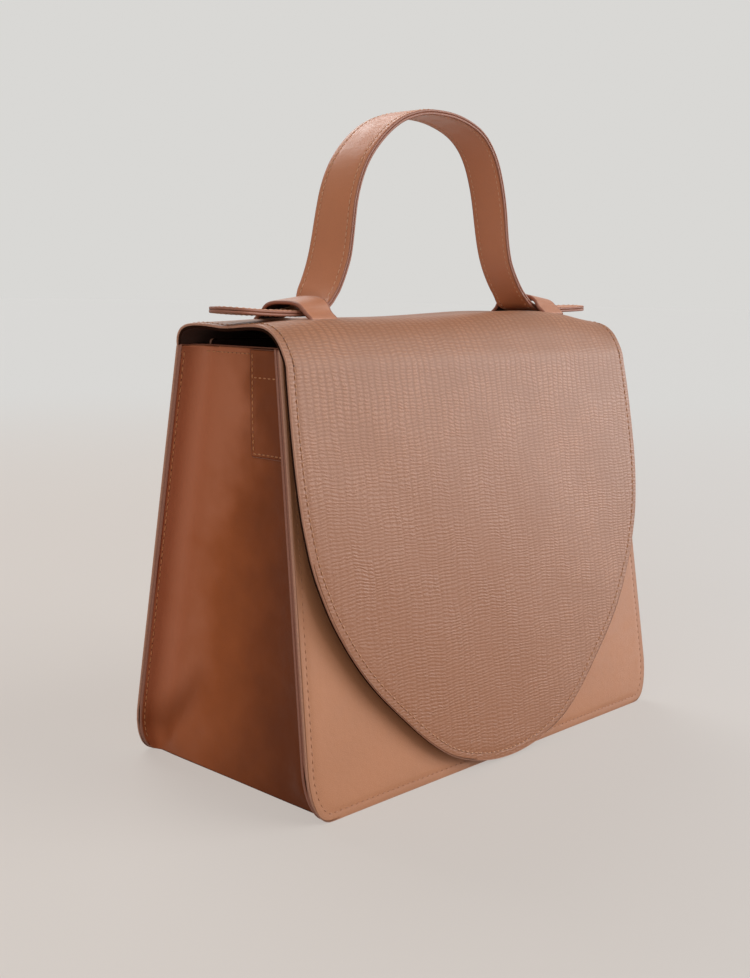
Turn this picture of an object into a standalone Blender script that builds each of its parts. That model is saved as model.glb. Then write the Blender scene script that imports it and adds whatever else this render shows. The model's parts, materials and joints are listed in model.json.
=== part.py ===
"""Small structured leather handbag: a trapezoid body with two soft gussets,
a wide rounded front flap, and a short arched handle held by two keepers.

The bag stands on the floor at z = 0, its width runs along X and its front
faces -Y. All lengths are in metres.
"""
import math

import bmesh
import bpy
from mathutils import Matrix, Vector

# Body
BOTTOM_WIDTH = 0.238
TOP_WIDTH = 0.225
BOTTOM_DEPTH = 0.116
TOP_DEPTH = 0.064
BODY_HEIGHT = 0.1817
PANEL_CORNER_REACH = 0.012
PANEL_CORNER_RISE = 0.022
PANEL_TOP_RADIUS = 0.0015

# Leather and gaps between layers
PANEL_LEATHER = 0.0014
LINING_LEATHER = 0.0011
LAYER_GAP = 0.00025
FIT_GAP = 0.0003
CUT_OVERRUN = 0.002

# Gussets, the two side walls with their edges turned outwards
GUSSET_LEATHER = 0.0020
GUSSET_INSET = 0.012
GUSSET_FOLD_RADIUS = 0.0045
GUSSET_BULGE = 0.003
GUSSET_TOP_DROP = 0.0006
GUSSET_LEAST_FLANGE = 0.0028

# Patch on each gusset, and the tab and ring inside behind it
PATCH_WIDTH = 0.0204
PATCH_HEIGHT = 0.0455
PATCH_CENTRE_Y = -0.0094
PATCH_DROP = 0.0008
PATCH_LEATHER = 0.0011
TAB_WIDTH = 0.015
TAB_LENGTH = 0.026
TAB_LEATHER = 0.0012
RING_WIRE_RADIUS = 0.0012
RING_HALF_WIDTH = 0.0105
RING_CLEARANCE = 0.00035
RING_DROP = 0.0065

# Base
BASE_LEATHER = 0.0020
BASE_FLANGE = 0.010
BASE_CHAMFER = 0.0008
BASE_CORNER_RADIUS = 0.003
BOARD_THICKNESS = 0.0020
BASE_LINING_THICKNESS = 0.0010

# Pocket inside the back
POCKET_WIDTH = 0.130
POCKET_HEIGHT = 0.078
POCKET_BOTTOM = 0.042
POCKET_CORNER_RADIUS = 0.008
POCKET_LEATHER = 0.0009

# Flap
FLAP_TOP_HEIGHT = 0.190
FLAP_LEATHER = 0.0013
FLAP_LINING = 0.0010
FLAP_LAYER_GAP = 0.0002
FLAP_CLEARANCE = 0.0012
FLAP_BACK_RADIUS = 0.010
FLAP_FRONT_RADIUS = 0.0095
FLAP_BACK_HALF_WIDTH = 0.113
FLAP_FRONT_HALF_WIDTH = 0.1155
FLAP_WIDEST_HALF_WIDTH = 0.116
FLAP_WIDEST_HEIGHT = 0.1435
FLAP_TIP_HEIGHT = 0.002
FLAP_SPLIT_GAP = 0.0006
FLAP_AXIS_PROUD = 0.0009
ANCHOR_HEIGHT = 0.030
ANCHOR_SIDE_GAP = 0.001

# Magnets of the hidden closure
MAGNET_RADIUS = 0.009
MAGNET_THICKNESS = 0.0010
MAGNET_HEIGHT = 0.046

# Handle strap
STRAP_WIDTH = 0.021
STRAP_PLY = 0.0014
STRAP_PLY_GAP = 0.0002
HANDLE_CENTRE_Y = -0.0025
HANDLE_RISE = 0.0904
HANDLE_LIE = 0.0004
HANDLE_HALF_SPAN = 0.0520
HANDLE_AXIS_RISE = 0.022
HANDLE_FOOT_DROP = 0.007
TONGUE_REACH = 0.1186
TONGUE_SPRING = 0.0034

# Keepers, the bands that hold the strap down
KEEPER_INNER_X = 0.0704
KEEPER_WIDTH = 0.0144
KEEPER_HALF_WIDTH = 0.0137
KEEPER_LEATHER = 0.0016
KEEPER_OUTER_RISE = 0.0078
KEEPER_INNER_RISE = 0.0094
KEEPER_SHOULDER = 0.002
KEEPER_FOOT = 0.0065
KEEPER_BEND_RADIUS = 0.0012

# Share of a short flange that its fold takes
FOLD_SHARE = 0.8

# Shares of the strap's half width where its round ends are stepped
TIP_SHARES = (0.0, 0.06, 0.18, 0.36, 0.62, 0.99)
LEG_SHARES = (0.9, 0.78, 0.6, 0.35, 0.0)
BLUNT_SHARE = 0.12

# Power that squares the keepers' arch a little; 1 would be an ellipse
KEEPER_ROUNDNESS = 0.8

# Angles and counts
FLAP_BACK_SPLIT_ANGLE = math.radians(20.5)
FLAP_FRONT_SPLIT_ANGLE = math.radians(135.0)
TAB_WRAP_ANGLE = math.radians(290.0)
ARC_STEPS = 6
STRIP_COLUMNS = 6
PATH_SAMPLES = 2

# Strap path from the tongue's tip to the crown of the arch, in three lists.
# The first gives shares of the way from keeper to tip and of the tongue's
# spring. The second gives shares of the way from the arch's side to the
# keeper and of the arch's rise. The third gives shares of half span and rise.
TONGUE_SHARES = (
    (1.0, 1.0),
    (0.807, 0.66),
    (0.568, 0.31),
    (0.298, 0.09),
    (0.035, 0.0),
)
FLARE_SHARES = (
    (1.526, 0.002),
    (1.243, 0.011),
    (1.0, 0.031),
    (0.820, 0.061),
    (0.661, 0.102),
    (0.435, 0.158),
    (0.26, 0.222),
    (0.124, 0.296),
    (0.034, 0.385),
)
ARCH_SHARES = (
    (0.990, 0.474),
    (0.962, 0.568),
    (0.919, 0.652),
    (0.863, 0.729),
    (0.777, 0.806),
    (0.646, 0.882),
    (0.487, 0.940),
    (0.331, 0.976),
    (0.173, 0.995),
    (0.0, 1.0),
)

# Worked out from the sizes above
SLOPE = math.atan((BOTTOM_DEPTH - TOP_DEPTH) / 2 / BODY_HEIGHT)
PANEL_LENGTH = BODY_HEIGHT / math.cos(SLOPE)
LINING_DEPTH = PANEL_LEATHER + LAYER_GAP
INSIDE_DEPTH = LINING_DEPTH + LINING_LEATHER + LAYER_GAP
FLAP_THICKNESS = FLAP_LEATHER + FLAP_LAYER_GAP + FLAP_LINING
FLAP_LINING_DEPTH = FLAP_LEATHER + FLAP_LAYER_GAP
FLAP_OUTER_DEPTH = -(FLAP_CLEARANCE + FLAP_THICKNESS)
GUSSET_TOP = BODY_HEIGHT - GUSSET_TOP_DROP
KEEPER_OUTER_X = KEEPER_INNER_X + KEEPER_WIDTH
STRAP_THICKNESS = 2 * STRAP_PLY + STRAP_PLY_GAP
STRAP_BASE_Z = FLAP_TOP_HEIGHT + HANDLE_LIE + STRAP_THICKNESS / 2
HANDLE_AXIS_Z = FLAP_TOP_HEIGHT + HANDLE_AXIS_RISE
STRAP_TOP_Z = FLAP_TOP_HEIGHT + HANDLE_RISE + STRAP_THICKNESS / 2

CARAMEL = (0.40, 0.19, 0.105)
EMBOSSED = (0.37, 0.185, 0.115)
SADDLE = (0.27, 0.10, 0.045)
EDGE_BROWN = (0.20, 0.075, 0.045)
INNER_BROWN = (0.16, 0.075, 0.045)
BOARD_GREY = (0.30, 0.27, 0.24)
STEEL = (0.62, 0.61, 0.60)
BRASS = (0.72, 0.56, 0.33)


def clear_scene():
    """Remove every object of the start-up scene."""
    for item in list(bpy.data.objects):
        bpy.data.objects.remove(item, do_unlink=True)


def principled(name, colour, roughness, metallic=0.0):
    """A plain Principled material."""
    material = bpy.data.materials.new(name)
    material.use_nodes = True
    shader = material.node_tree.nodes["Principled BSDF"]
    shader.inputs["Base Color"].default_value = (*colour, 1.0)
    shader.inputs["Roughness"].default_value = roughness
    shader.inputs["Metallic"].default_value = metallic
    material.diffuse_color = (*colour, 1.0)
    return material


def empty(name, place, parent=None):
    """An empty that stands on a joint's axis."""
    item = bpy.data.objects.new(name, None)
    bpy.context.collection.objects.link(item)
    item.parent = parent
    start = parent.matrix_world.translation if parent else Vector((0, 0, 0))
    item.location = Vector(place) - start
    bpy.context.view_layer.update()
    return item


def solid(name, mesh, material, matrix=None, parent=None, smooth_angle=None):
    """Close a bmesh into an object, place it and hang it on its parent."""
    bmesh.ops.recalc_face_normals(mesh, faces=mesh.faces)
    data = bpy.data.meshes.new(name)
    mesh.to_mesh(data)
    mesh.free()
    data.materials.append(material)
    if smooth_angle is not None:
        data.shade_smooth()
        data.set_sharp_from_angle(angle=smooth_angle)
    item = bpy.data.objects.new(name, data)
    bpy.context.collection.objects.link(item)
    item.parent = parent
    if parent:
        item.matrix_parent_inverse = Matrix.Translation(-parent.matrix_world.translation)
    item.matrix_basis = matrix if matrix is not None else Matrix.Identity(4)
    return item


def loft(rings):
    """Join closed rings of equal count one after another, and cap both ends."""
    mesh = bmesh.new()
    rows = [[mesh.verts.new(point) for point in ring] for ring in rings]
    count = len(rows[0])
    for lower, upper in zip(rows, rows[1:]):
        for i in range(count):
            j = (i + 1) % count
            mesh.faces.new((lower[i], lower[j], upper[j], upper[i]))
    mesh.faces.new(rows[0])
    mesh.faces.new(rows[-1])
    return mesh


def arc_points(centre, radius, start, end, steps=ARC_STEPS):
    """Points on an arc, both ends included."""
    angles = [start + (end - start) * i / steps for i in range(steps + 1)]
    return [(centre[0] + radius * math.cos(a), centre[1] + radius * math.sin(a)) for a in angles]


def rounded_outline(corners, radii, steps=ARC_STEPS):
    """Replace each corner of a polygon by an arc tangent to both its sides."""
    outline = []
    count = len(corners)
    for i in range(count):
        here = Vector(corners[i])
        before = (Vector(corners[i - 1]) - here).normalized()
        after = (Vector(corners[(i + 1) % count]) - here).normalized()
        radius = radii[i]
        half = before.angle(after) / 2
        middle = here + (before + after).normalized() * radius / math.sin(half)
        first = here + before * radius / math.tan(half) - middle
        last = here + after * radius / math.tan(half) - middle
        start = math.atan2(first.y, first.x)
        sweep = math.atan2(first.x * last.y - first.y * last.x, first.dot(last))
        outline += arc_points(middle, radius, start, start + sweep, steps)
    return outline


def normals_of(path):
    """Unit normals of an open path, to the left of its direction."""
    result = []
    for i in range(len(path)):
        a = Vector(path[max(i - 1, 0)])
        b = Vector(path[min(i + 1, len(path) - 1)])
        along = (b - a).normalized()
        result.append(Vector((-along.y, along.x)))
    return result


def band(path, left, right):
    """Closed outline of a band along a path, between two distances to its left."""
    sides = normals_of(path)
    one = [tuple(Vector(p) + n * left) for p, n in zip(path, sides)]
    other = [tuple(Vector(p) + n * right) for p, n in zip(path, sides)]
    return one + other[::-1]


def strip(path, half_of, near, far, columns=STRIP_COLUMNS):
    """A sheet that follows a path in the YZ plane and spreads along X.

    Its two faces lie at the distances near and far to the left of the path,
    and half_of gives the half width at a point of a face.
    """
    rings = []
    for point, side in zip(path, normals_of(path)):
        upper = Vector(point) + side * near
        lower = Vector(point) + side * far
        shares = [2 * j / columns - 1 for j in range(columns + 1)]
        ring = [(half_of(upper) * s, upper.x, upper.y) for s in shares]
        ring += [(half_of(lower) * s, lower.x, lower.y) for s in reversed(shares)]
        rings.append(ring)
    return loft(rings)


def smooth_path(points, samples=PATH_SAMPLES):
    """Catmull-Rom curve through a list of points."""
    ends = [2 * Vector(points[0]) - Vector(points[1])]
    knots = ends + [Vector(p) for p in points] + [2 * Vector(points[-1]) - Vector(points[-2])]
    result = []
    for i in range(1, len(knots) - 2):
        a, b, c, d = knots[i - 1:i + 3]
        for step in range(samples):
            t = step / samples
            value = 2 * b + (c - a) * t
            value += (2 * a - 5 * b + 4 * c - d) * t ** 2
            value += (3 * b - a - 3 * c + d) * t ** 3
            result.append(tuple(value / 2))
    result.append(tuple(knots[-2]))
    return result


def half_width(z):
    """Half the body's width at a height, along the panels' straight sides."""
    return (BOTTOM_WIDTH + (TOP_WIDTH - BOTTOM_WIDTH) * z / BODY_HEIGHT) / 2


def edge_x(z):
    """Half width of the panels' outline, with their round lower corners."""
    drop = max(1 - z / PANEL_CORNER_RISE, 0)
    return half_width(z) - PANEL_CORNER_REACH * (1 - math.sqrt(1 - drop ** 2))


def corner_heights(steps):
    """Heights that step evenly round a panel's lower corner."""
    return [PANEL_CORNER_RISE * (1 - math.cos(math.pi / 2 * i / steps)) for i in range(steps + 1)]


def wall_y(z, depth):
    """Distance from the middle plane to a layer of the front or back wall."""
    return BOTTOM_DEPTH / 2 - z * math.tan(SLOPE) - depth / math.cos(SLOPE)


def wall_matrix(back=False):
    """Place of a wall's plane: X across, Z up the slope and Y into the bag."""
    front = Matrix.Translation((0, -BOTTOM_DEPTH / 2, 0)) @ Matrix.Rotation(-SLOPE, 4, "X")
    return Matrix.Rotation(math.pi, 4, "Z") @ front if back else front


def wall_sheet(outline, depth, thickness):
    """A flat sheet in a wall's plane, from a depth inwards."""
    near = [(x, depth, v) for x, v in outline]
    far = [(x, depth + thickness, v) for x, v in outline]
    return loft([near, far])


def panel_outline(depth, thickness):
    """Outline of a wall's layer whose inner lower edge touches the floor."""
    low = (depth + thickness) * math.tan(SLOPE)
    side = [(edge_x(z), low + z / math.cos(SLOPE)) for z in corner_heights(7)]
    top = TOP_WIDTH / 2
    turn = arc_points((top - PANEL_TOP_RADIUS, PANEL_LENGTH - PANEL_TOP_RADIUS),
                      PANEL_TOP_RADIUS, 0, math.pi / 2, 3)
    right = side + turn
    return right + [(-x, v) for x, v in reversed(right)]


def magnet_cutter(name, frame, depth, height):
    """A hidden cylinder that cuts the magnet's seat out of two leather layers."""
    mesh = bmesh.new()
    spin = Matrix.Translation((0, depth, height)) @ Matrix.Rotation(math.pi / 2, 4, "X")
    size = MAGNET_THICKNESS + 2 * FIT_GAP
    bmesh.ops.create_cone(mesh, cap_ends=True, segments=32, radius1=MAGNET_RADIUS + FIT_GAP,
                          radius2=MAGNET_RADIUS + FIT_GAP, depth=size, matrix=spin)
    return hidden_cutter(name, mesh, frame)


def hidden_cutter(name, mesh, matrix):
    """A closed shape that only cuts others."""
    item = solid(name, mesh, cutter_material, matrix)
    item.hide_render = True
    item.display_type = "WIRE"
    return item


def cut(item, cutter):
    """Take a cutter's shape out of an object."""
    modifier = item.modifiers.new("Cut " + cutter.name, "BOOLEAN")
    modifier.operation = "DIFFERENCE"
    modifier.solver = "EXACT"
    modifier.object = cutter


def magnet(name, material, frame, depth, height, parent=None):
    """A flat round magnet between two leather layers."""
    mesh = bmesh.new()
    spin = Matrix.Translation((0, depth, height)) @ Matrix.Rotation(math.pi / 2, 4, "X")
    bmesh.ops.create_cone(mesh, cap_ends=True, segments=32, radius1=MAGNET_RADIUS,
                          radius2=MAGNET_RADIUS, depth=MAGNET_THICKNESS, matrix=spin)
    return solid(name, mesh, material, frame, parent, math.radians(40))


def build_walls():
    """Front and back panels, each with its lining, and the front magnet."""
    seat_depth = LINING_DEPTH - LAYER_GAP / 2
    seat_height = MAGNET_HEIGHT / math.cos(SLOPE)
    seat = magnet_cutter("front_magnet_seat", wall_matrix(), seat_depth, seat_height)
    for side, back in (("front", False), ("back", True)):
        outer = solid(side + "_panel", wall_sheet(panel_outline(0, PANEL_LEATHER), 0, PANEL_LEATHER),
                      caramel, wall_matrix(back))
        outline = panel_outline(LINING_DEPTH, LINING_LEATHER)
        inner = solid(side + "_lining", wall_sheet(outline, LINING_DEPTH, LINING_LEATHER),
                      lining, wall_matrix(back))
        if not back:
            cut(outer, seat)
            cut(inner, seat)
    magnet("front_magnet", steel, wall_matrix(), seat_depth, seat_height)


def gusset_middle_x(y, z):
    """Middle surface of a gusset between its folds: a shallow outward crown."""
    reach = wall_y(z, INSIDE_DEPTH) - GUSSET_LEATHER / 2 - GUSSET_FOLD_RADIUS
    across = math.cos(math.pi / 2 * min(abs(y) / reach, 1.0)) ** 2
    up = math.sin(math.pi * min(z / BODY_HEIGHT, 1.0))
    return half_width(z) - GUSSET_INSET - GUSSET_LEATHER / 2 + GUSSET_BULGE * across * up


def gusset_ring(z, side):
    """Level section of a gusset: flange, fold, crowned middle, fold, flange."""
    y_flange = wall_y(z, INSIDE_DEPTH) - GUSSET_LEATHER / 2
    x_middle = half_width(z) - GUSSET_INSET - GUSSET_LEATHER / 2
    tip = max(edge_x(z), x_middle + GUSSET_LEAST_FLANGE)
    radius = min(GUSSET_FOLD_RADIUS, (tip - x_middle) * FOLD_SHARE)
    half = y_flange - radius
    path = [(tip, -y_flange)]
    path += arc_points((x_middle + radius, -half), radius, -math.pi / 2, -math.pi, 4)
    for i in range(1, 12):
        y = half * (i / 6 - 1)
        path.append((gusset_middle_x(y, z), y))
    path += arc_points((x_middle + radius, half), radius, math.pi, math.pi / 2, 4)
    path.append((tip, y_flange))
    outline = band(path, GUSSET_LEATHER / 2, -GUSSET_LEATHER / 2)
    return [(side * x, y, z) for x, y in outline]


def build_gussets():
    """The two side walls."""
    heights = corner_heights(6)
    steps = 9
    span = GUSSET_TOP - PANEL_CORNER_RISE
    heights += [PANEL_CORNER_RISE + span * i / steps for i in range(1, steps + 1)]
    for name, side in (("left", -1), ("right", 1)):
        rings = [gusset_ring(z, side) for z in heights]
        solid("gusset_" + name, loft(rings), saddle)


def build_patches():
    """The stitched patch on each gusset's outer face."""
    near = GUSSET_LEATHER / 2 + LAYER_GAP
    top = GUSSET_TOP - PATCH_DROP
    rows, columns = 6, 6
    for name, side in (("left", -1), ("right", 1)):
        rings = []
        for i in range(rows + 1):
            z = top - PATCH_HEIGHT * (1 - i / rows)
            ys = [PATCH_CENTRE_Y + PATCH_WIDTH * (j / columns - 1 / 2) for j in range(columns + 1)]
            inner = [(side * (gusset_middle_x(y, z) + near), y, z) for y in ys]
            outer = [(side * (gusset_middle_x(y, z) + near + PATCH_LEATHER), y, z) for y in ys]
            rings.append(inner + outer[::-1])
        solid("gusset_patch_" + name, loft(rings), saddle)


def ring_axis():
    """X and Z of the ring's straight bar, on the right-hand side."""
    z = GUSSET_TOP - RING_DROP
    low = z - TAB_LENGTH
    edge = PATCH_CENTRE_Y - TAB_WIDTH / 2
    face = min(gusset_middle_x(edge, height) for height in (low, (low + z) / 2, z))
    wrap = RING_WIRE_RADIUS + RING_CLEARANCE + TAB_LEATHER
    return face - GUSSET_LEATHER / 2 - FIT_GAP - wrap, z


def build_rings():
    """A leather tab inside each gusset, wrapped round the bar of a D-shaped ring."""
    x_bar, z_bar = ring_axis()
    wrap = RING_WIRE_RADIUS + RING_CLEARANCE + TAB_LEATHER / 2
    for name, side in (("left", -1), ("right", 1)):
        path = [(wrap, -TAB_LENGTH)]
        path += arc_points((0, 0), wrap, 0, TAB_WRAP_ANGLE, 18)
        outline = band(path, TAB_LEATHER / 2, -TAB_LEATHER / 2)
        ends = (PATCH_CENTRE_Y - TAB_WIDTH / 2, PATCH_CENTRE_Y + TAB_WIDTH / 2)
        rings = [[(side * (x_bar + x), y, z_bar + z) for x, z in outline] for y in ends]
        solid("ring_tab_" + name, loft(rings), saddle)
        axis = empty("ring_axis_" + name, (side * x_bar, PATCH_CENTRE_Y, z_bar))
        d_ring("d_ring_" + name, axis)


def d_ring(name, axis):
    """A round wire bent to a D: a straight bar and a half circle below it."""
    corner = 2 * RING_WIRE_RADIUS
    reach = RING_HALF_WIDTH
    path = arc_points((reach - corner, -corner), corner, math.pi / 2, 0, 4)
    path += arc_points((0, -corner), reach, 0, -math.pi, 16)[1:-1]
    path += arc_points((corner - reach, -corner), corner, math.pi, math.pi / 2, 4)
    curve = bpy.data.curves.new(name, "CURVE")
    curve.dimensions = "3D"
    curve.bevel_depth = RING_WIRE_RADIUS
    curve.bevel_resolution = 2
    line = curve.splines.new("POLY")
    line.points.add(len(path) - 1)
    for point, (y, z) in zip(line.points, path):
        point.co = (0, y, z, 1)
    line.use_cyclic_u = True
    curve.materials.append(brass)
    item = bpy.data.objects.new(name, curve)
    bpy.context.collection.objects.link(item)
    item.parent = axis
    return item


def base_outline(z, inward):
    """Rounded rectangle inside the walls and gussets at a height."""
    x = half_width(z) - GUSSET_INSET - GUSSET_LEATHER - FIT_GAP - inward
    y = wall_y(z, INSIDE_DEPTH) - inward
    radius = BASE_CORNER_RADIUS
    outline = rounded_outline([(-x, -y), (x, -y), (x, y), (-x, y)], [radius] * 4, 3)
    return outline


def build_base():
    """The base: a tray of leather, a stiffening board and a lining sheet."""
    levels = [(0, BASE_CHAMFER), (BASE_CHAMFER, 0), (BASE_FLANGE, 0)]
    levels += [(BASE_FLANGE, BASE_LEATHER), (BASE_LEATHER, BASE_LEATHER)]
    rings = [[(x, y, z) for x, y in base_outline(z, inward)] for z, inward in levels]
    solid("base_panel", loft(rings), saddle)
    low = BASE_LEATHER + FIT_GAP
    inset = BASE_LEATHER + FIT_GAP
    for name, thickness, material in (("base_board", BOARD_THICKNESS, board),
                                      ("base_lining", BASE_LINING_THICKNESS, lining)):
        outline = base_outline(low + thickness, inset)
        rings = [[(x, y, z) for x, y in outline] for z in (low, low + thickness)]
        solid(name, loft(rings), material)
        low += thickness + LAYER_GAP


def build_pocket():
    """A flat pocket sewn on the back lining."""
    half = POCKET_WIDTH / 2
    top = POCKET_BOTTOM + POCKET_HEIGHT
    corners = [(-half, POCKET_BOTTOM), (half, POCKET_BOTTOM), (half, top), (-half, top)]
    radii = [POCKET_CORNER_RADIUS] * 2 + [POCKET_LEATHER] * 2
    outline = rounded_outline(corners, radii)
    solid("slip_pocket", wall_sheet(outline, INSIDE_DEPTH, POCKET_LEATHER), lining, wall_matrix(True))


def flap_fold(depth, radius):
    """Centre of a fold whose outer face meets a wall's layer and the flap's top."""
    z = FLAP_TOP_HEIGHT - radius
    return wall_y(z, depth + radius), z


def flap_hinges():
    """Y and Z of the back and front fold axes, just proud of the flap's face."""
    back_y, back_z = flap_fold(INSIDE_DEPTH, FLAP_BACK_RADIUS)
    front_y, front_z = flap_fold(FLAP_OUTER_DEPTH, FLAP_FRONT_RADIUS)
    back_reach = FLAP_BACK_RADIUS + FLAP_AXIS_PROUD
    front_reach = FLAP_FRONT_RADIUS + FLAP_AXIS_PROUD
    back = (back_y + back_reach * math.cos(FLAP_BACK_SPLIT_ANGLE),
            back_z + back_reach * math.sin(FLAP_BACK_SPLIT_ANGLE))
    front = (-front_y + front_reach * math.cos(FLAP_FRONT_SPLIT_ANGLE),
             front_z + front_reach * math.sin(FLAP_FRONT_SPLIT_ANGLE))
    return back, front


def flap_half_width(point):
    """Half width of the hanging flap: nearly straight, then a half ellipse."""
    z = point.y
    if z >= FLAP_WIDEST_HEIGHT:
        share = (z - FLAP_WIDEST_HEIGHT) / (FLAP_TOP_HEIGHT - FLAP_WIDEST_HEIGHT)
        return FLAP_WIDEST_HALF_WIDTH + (FLAP_FRONT_HALF_WIDTH - FLAP_WIDEST_HALF_WIDTH) * share
    drop = (FLAP_WIDEST_HEIGHT - z) / (FLAP_WIDEST_HEIGHT - FLAP_TIP_HEIGHT)
    return FLAP_WIDEST_HALF_WIDTH * math.sqrt(max(1 - drop ** 2, 0))


def anchor_path():
    """The flap's outer face inside the back wall, up to the back split."""
    centre = flap_fold(INSIDE_DEPTH, FLAP_BACK_RADIUS)
    low = BODY_HEIGHT - ANCHOR_HEIGHT
    end = FLAP_BACK_SPLIT_ANGLE - FLAP_SPLIT_GAP / 2 / FLAP_BACK_RADIUS
    return [(wall_y(low, INSIDE_DEPTH), low)] + arc_points(centre, FLAP_BACK_RADIUS, SLOPE, end, 3)


def top_path():
    """The flap's outer face over the top, between the two splits."""
    back = flap_fold(INSIDE_DEPTH, FLAP_BACK_RADIUS)
    front_y, front_z = flap_fold(FLAP_OUTER_DEPTH, FLAP_FRONT_RADIUS)
    start = FLAP_BACK_SPLIT_ANGLE + FLAP_SPLIT_GAP / 2 / FLAP_BACK_RADIUS
    end = FLAP_FRONT_SPLIT_ANGLE - FLAP_SPLIT_GAP / 2 / FLAP_FRONT_RADIUS
    path = arc_points(back, FLAP_BACK_RADIUS, start, math.pi / 2)
    path += arc_points((-front_y, front_z), FLAP_FRONT_RADIUS, math.pi / 2, end, 4)
    return path


def front_path():
    """The hanging flap's outer face, from the front split down to the tip."""
    front_y, front_z = flap_fold(FLAP_OUTER_DEPTH, FLAP_FRONT_RADIUS)
    start = FLAP_FRONT_SPLIT_ANGLE + FLAP_SPLIT_GAP / 2 / FLAP_FRONT_RADIUS
    path = arc_points((-front_y, front_z), FLAP_FRONT_RADIUS, start, math.pi - SLOPE, 4)
    heights = [FLAP_WIDEST_HEIGHT]
    span = FLAP_WIDEST_HEIGHT - FLAP_TIP_HEIGHT
    turns = 14
    last_turn_share = 0.985
    for i in range(1, turns + 1):
        turn = math.pi / 2 * last_turn_share * i / turns
        heights.append(FLAP_WIDEST_HEIGHT - span * math.sin(turn))
    return path + [(-wall_y(z, FLAP_OUTER_DEPTH), z) for z in heights]


def top_half_width(point):
    """Half width of the flap's top, which widens evenly from back to front."""
    path = top_path()
    back, front = path[0][0], path[-1][0]
    share = (back - point.x) / (back - front)
    return FLAP_BACK_HALF_WIDTH + (FLAP_FRONT_HALF_WIDTH - FLAP_BACK_HALF_WIDTH) * share


def build_flap():
    """Anchor, top and hanging front of the flap, each an outer and a lining layer."""
    (back_y, back_z), (front_y, front_z) = flap_hinges()
    top_axis = empty("flap_top_axis", (0, back_y, back_z))
    front_axis = empty("flap_front_axis", (0, front_y, front_z), top_axis)
    anchor_half = half_width(BODY_HEIGHT) - GUSSET_INSET - GUSSET_LEATHER - ANCHOR_SIDE_GAP
    layers = (("outer", 0, FLAP_LEATHER, embossed),
              ("lining", FLAP_LINING_DEPTH, FLAP_THICKNESS, lining))
    made = {}
    for layer, near, far, material in layers:
        sheet = strip(anchor_path(), lambda point: anchor_half, near, far, 2)
        solid("flap_anchor_" + layer, sheet, material)
        sheet = strip(top_path(), top_half_width, near, far)
        made["top", layer] = solid("flap_top_" + layer, sheet, material, parent=top_axis)
        sheet = strip(front_path(), flap_half_width, near, far, 8)
        made["front", layer] = solid("flap_front_" + layer, sheet, material, parent=front_axis)
    frame = wall_matrix()
    depth = FLAP_OUTER_DEPTH + FLAP_LEATHER + FLAP_LAYER_GAP / 2
    height = MAGNET_HEIGHT / math.cos(SLOPE)
    seat = magnet_cutter("flap_magnet_seat", frame, depth, height)
    cut(made["front", "outer"], seat)
    cut(made["front", "lining"], seat)
    magnet("flap_magnet", steel, frame, depth, height, front_axis)
    slots = keeper_slots()
    cut(made["top", "outer"], slots)
    cut(made["top", "lining"], slots)
    return top_axis


def keeper_section(rise):
    """Section of a keeper: feet turned out under the flap, legs and an arch."""
    foot_z = FLAP_TOP_HEIGHT - FLAP_THICKNESS - FIT_GAP - KEEPER_LEATHER / 2
    leg = KEEPER_HALF_WIDTH
    bend = KEEPER_BEND_RADIUS
    shoulder = FLAP_TOP_HEIGHT + KEEPER_SHOULDER
    half = [(-leg - KEEPER_FOOT, foot_z)]
    half += arc_points((-leg - bend, foot_z + bend), bend, -math.pi / 2, 0, 3)
    steps = 9
    for i in range(steps + 1):
        turn = math.pi / 2 * i / steps
        out = max(math.cos(turn), 0) ** KEEPER_ROUNDNESS
        up = math.sin(turn) ** KEEPER_ROUNDNESS
        half.append((-leg * out, shoulder + (rise - KEEPER_SHOULDER) * up))
    path = half + [(-y, z) for y, z in reversed(half[:-1])]
    return band(path, KEEPER_LEATHER / 2, -KEEPER_LEATHER / 2)


def build_keepers(parent):
    """The two bands that hold the strap on the flap."""
    for name, side in (("left", -1), ("right", 1)):
        rings = []
        for x, rise in ((KEEPER_INNER_X, KEEPER_INNER_RISE), (KEEPER_OUTER_X, KEEPER_OUTER_RISE)):
            section = keeper_section(rise)
            rings.append([(side * x, HANDLE_CENTRE_Y + y, z) for y, z in section])
        solid("keeper_" + name, loft(rings), caramel, parent=parent, smooth_angle=math.radians(40))


def keeper_slots():
    """Slots in the flap's top for the keepers' legs."""
    mesh = bmesh.new()
    length = KEEPER_WIDTH + 2 * FIT_GAP
    width = KEEPER_LEATHER + 2 * FIT_GAP
    height = FLAP_THICKNESS + 2 * CUT_OVERRUN
    z = FLAP_TOP_HEIGHT - FLAP_THICKNESS / 2
    for side in (-1, 1):
        for leg in (-1, 1):
            x = side * (KEEPER_INNER_X + KEEPER_WIDTH / 2)
            y = HANDLE_CENTRE_Y + leg * KEEPER_HALF_WIDTH
            place = Matrix.Translation((x, y, z)) @ Matrix.Diagonal((length, width, height, 1))
            bmesh.ops.create_cube(mesh, size=1.0, matrix=place)
    return hidden_cutter("keeper_slots", mesh, Matrix.Identity(4))


def strap_path():
    """The strap's middle line in its own plane, from tongue tip to crown."""
    side = HANDLE_HALF_SPAN
    tongue = TONGUE_REACH - KEEPER_OUTER_X
    flare = KEEPER_INNER_X - side
    rise = STRAP_TOP_Z - STRAP_BASE_Z
    points = [(KEEPER_OUTER_X + tongue * x, TONGUE_SPRING * z) for x, z in TONGUE_SHARES]
    points += [(side + flare * x, rise * z) for x, z in FLARE_SHARES]
    points += [(side * x, rise * z) for x, z in ARCH_SHARES]
    return smooth_path([(x, STRAP_BASE_Z + z) for x, z in points])


def tongue_half_width(point):
    """Half width of the strap's end, which is round at its tip."""
    radius = STRAP_WIDTH / 2
    short = max(abs(point.x) - (TONGUE_REACH - radius), 0)
    return math.sqrt(max(radius ** 2 - short ** 2, (radius * BLUNT_SHARE) ** 2))


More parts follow.
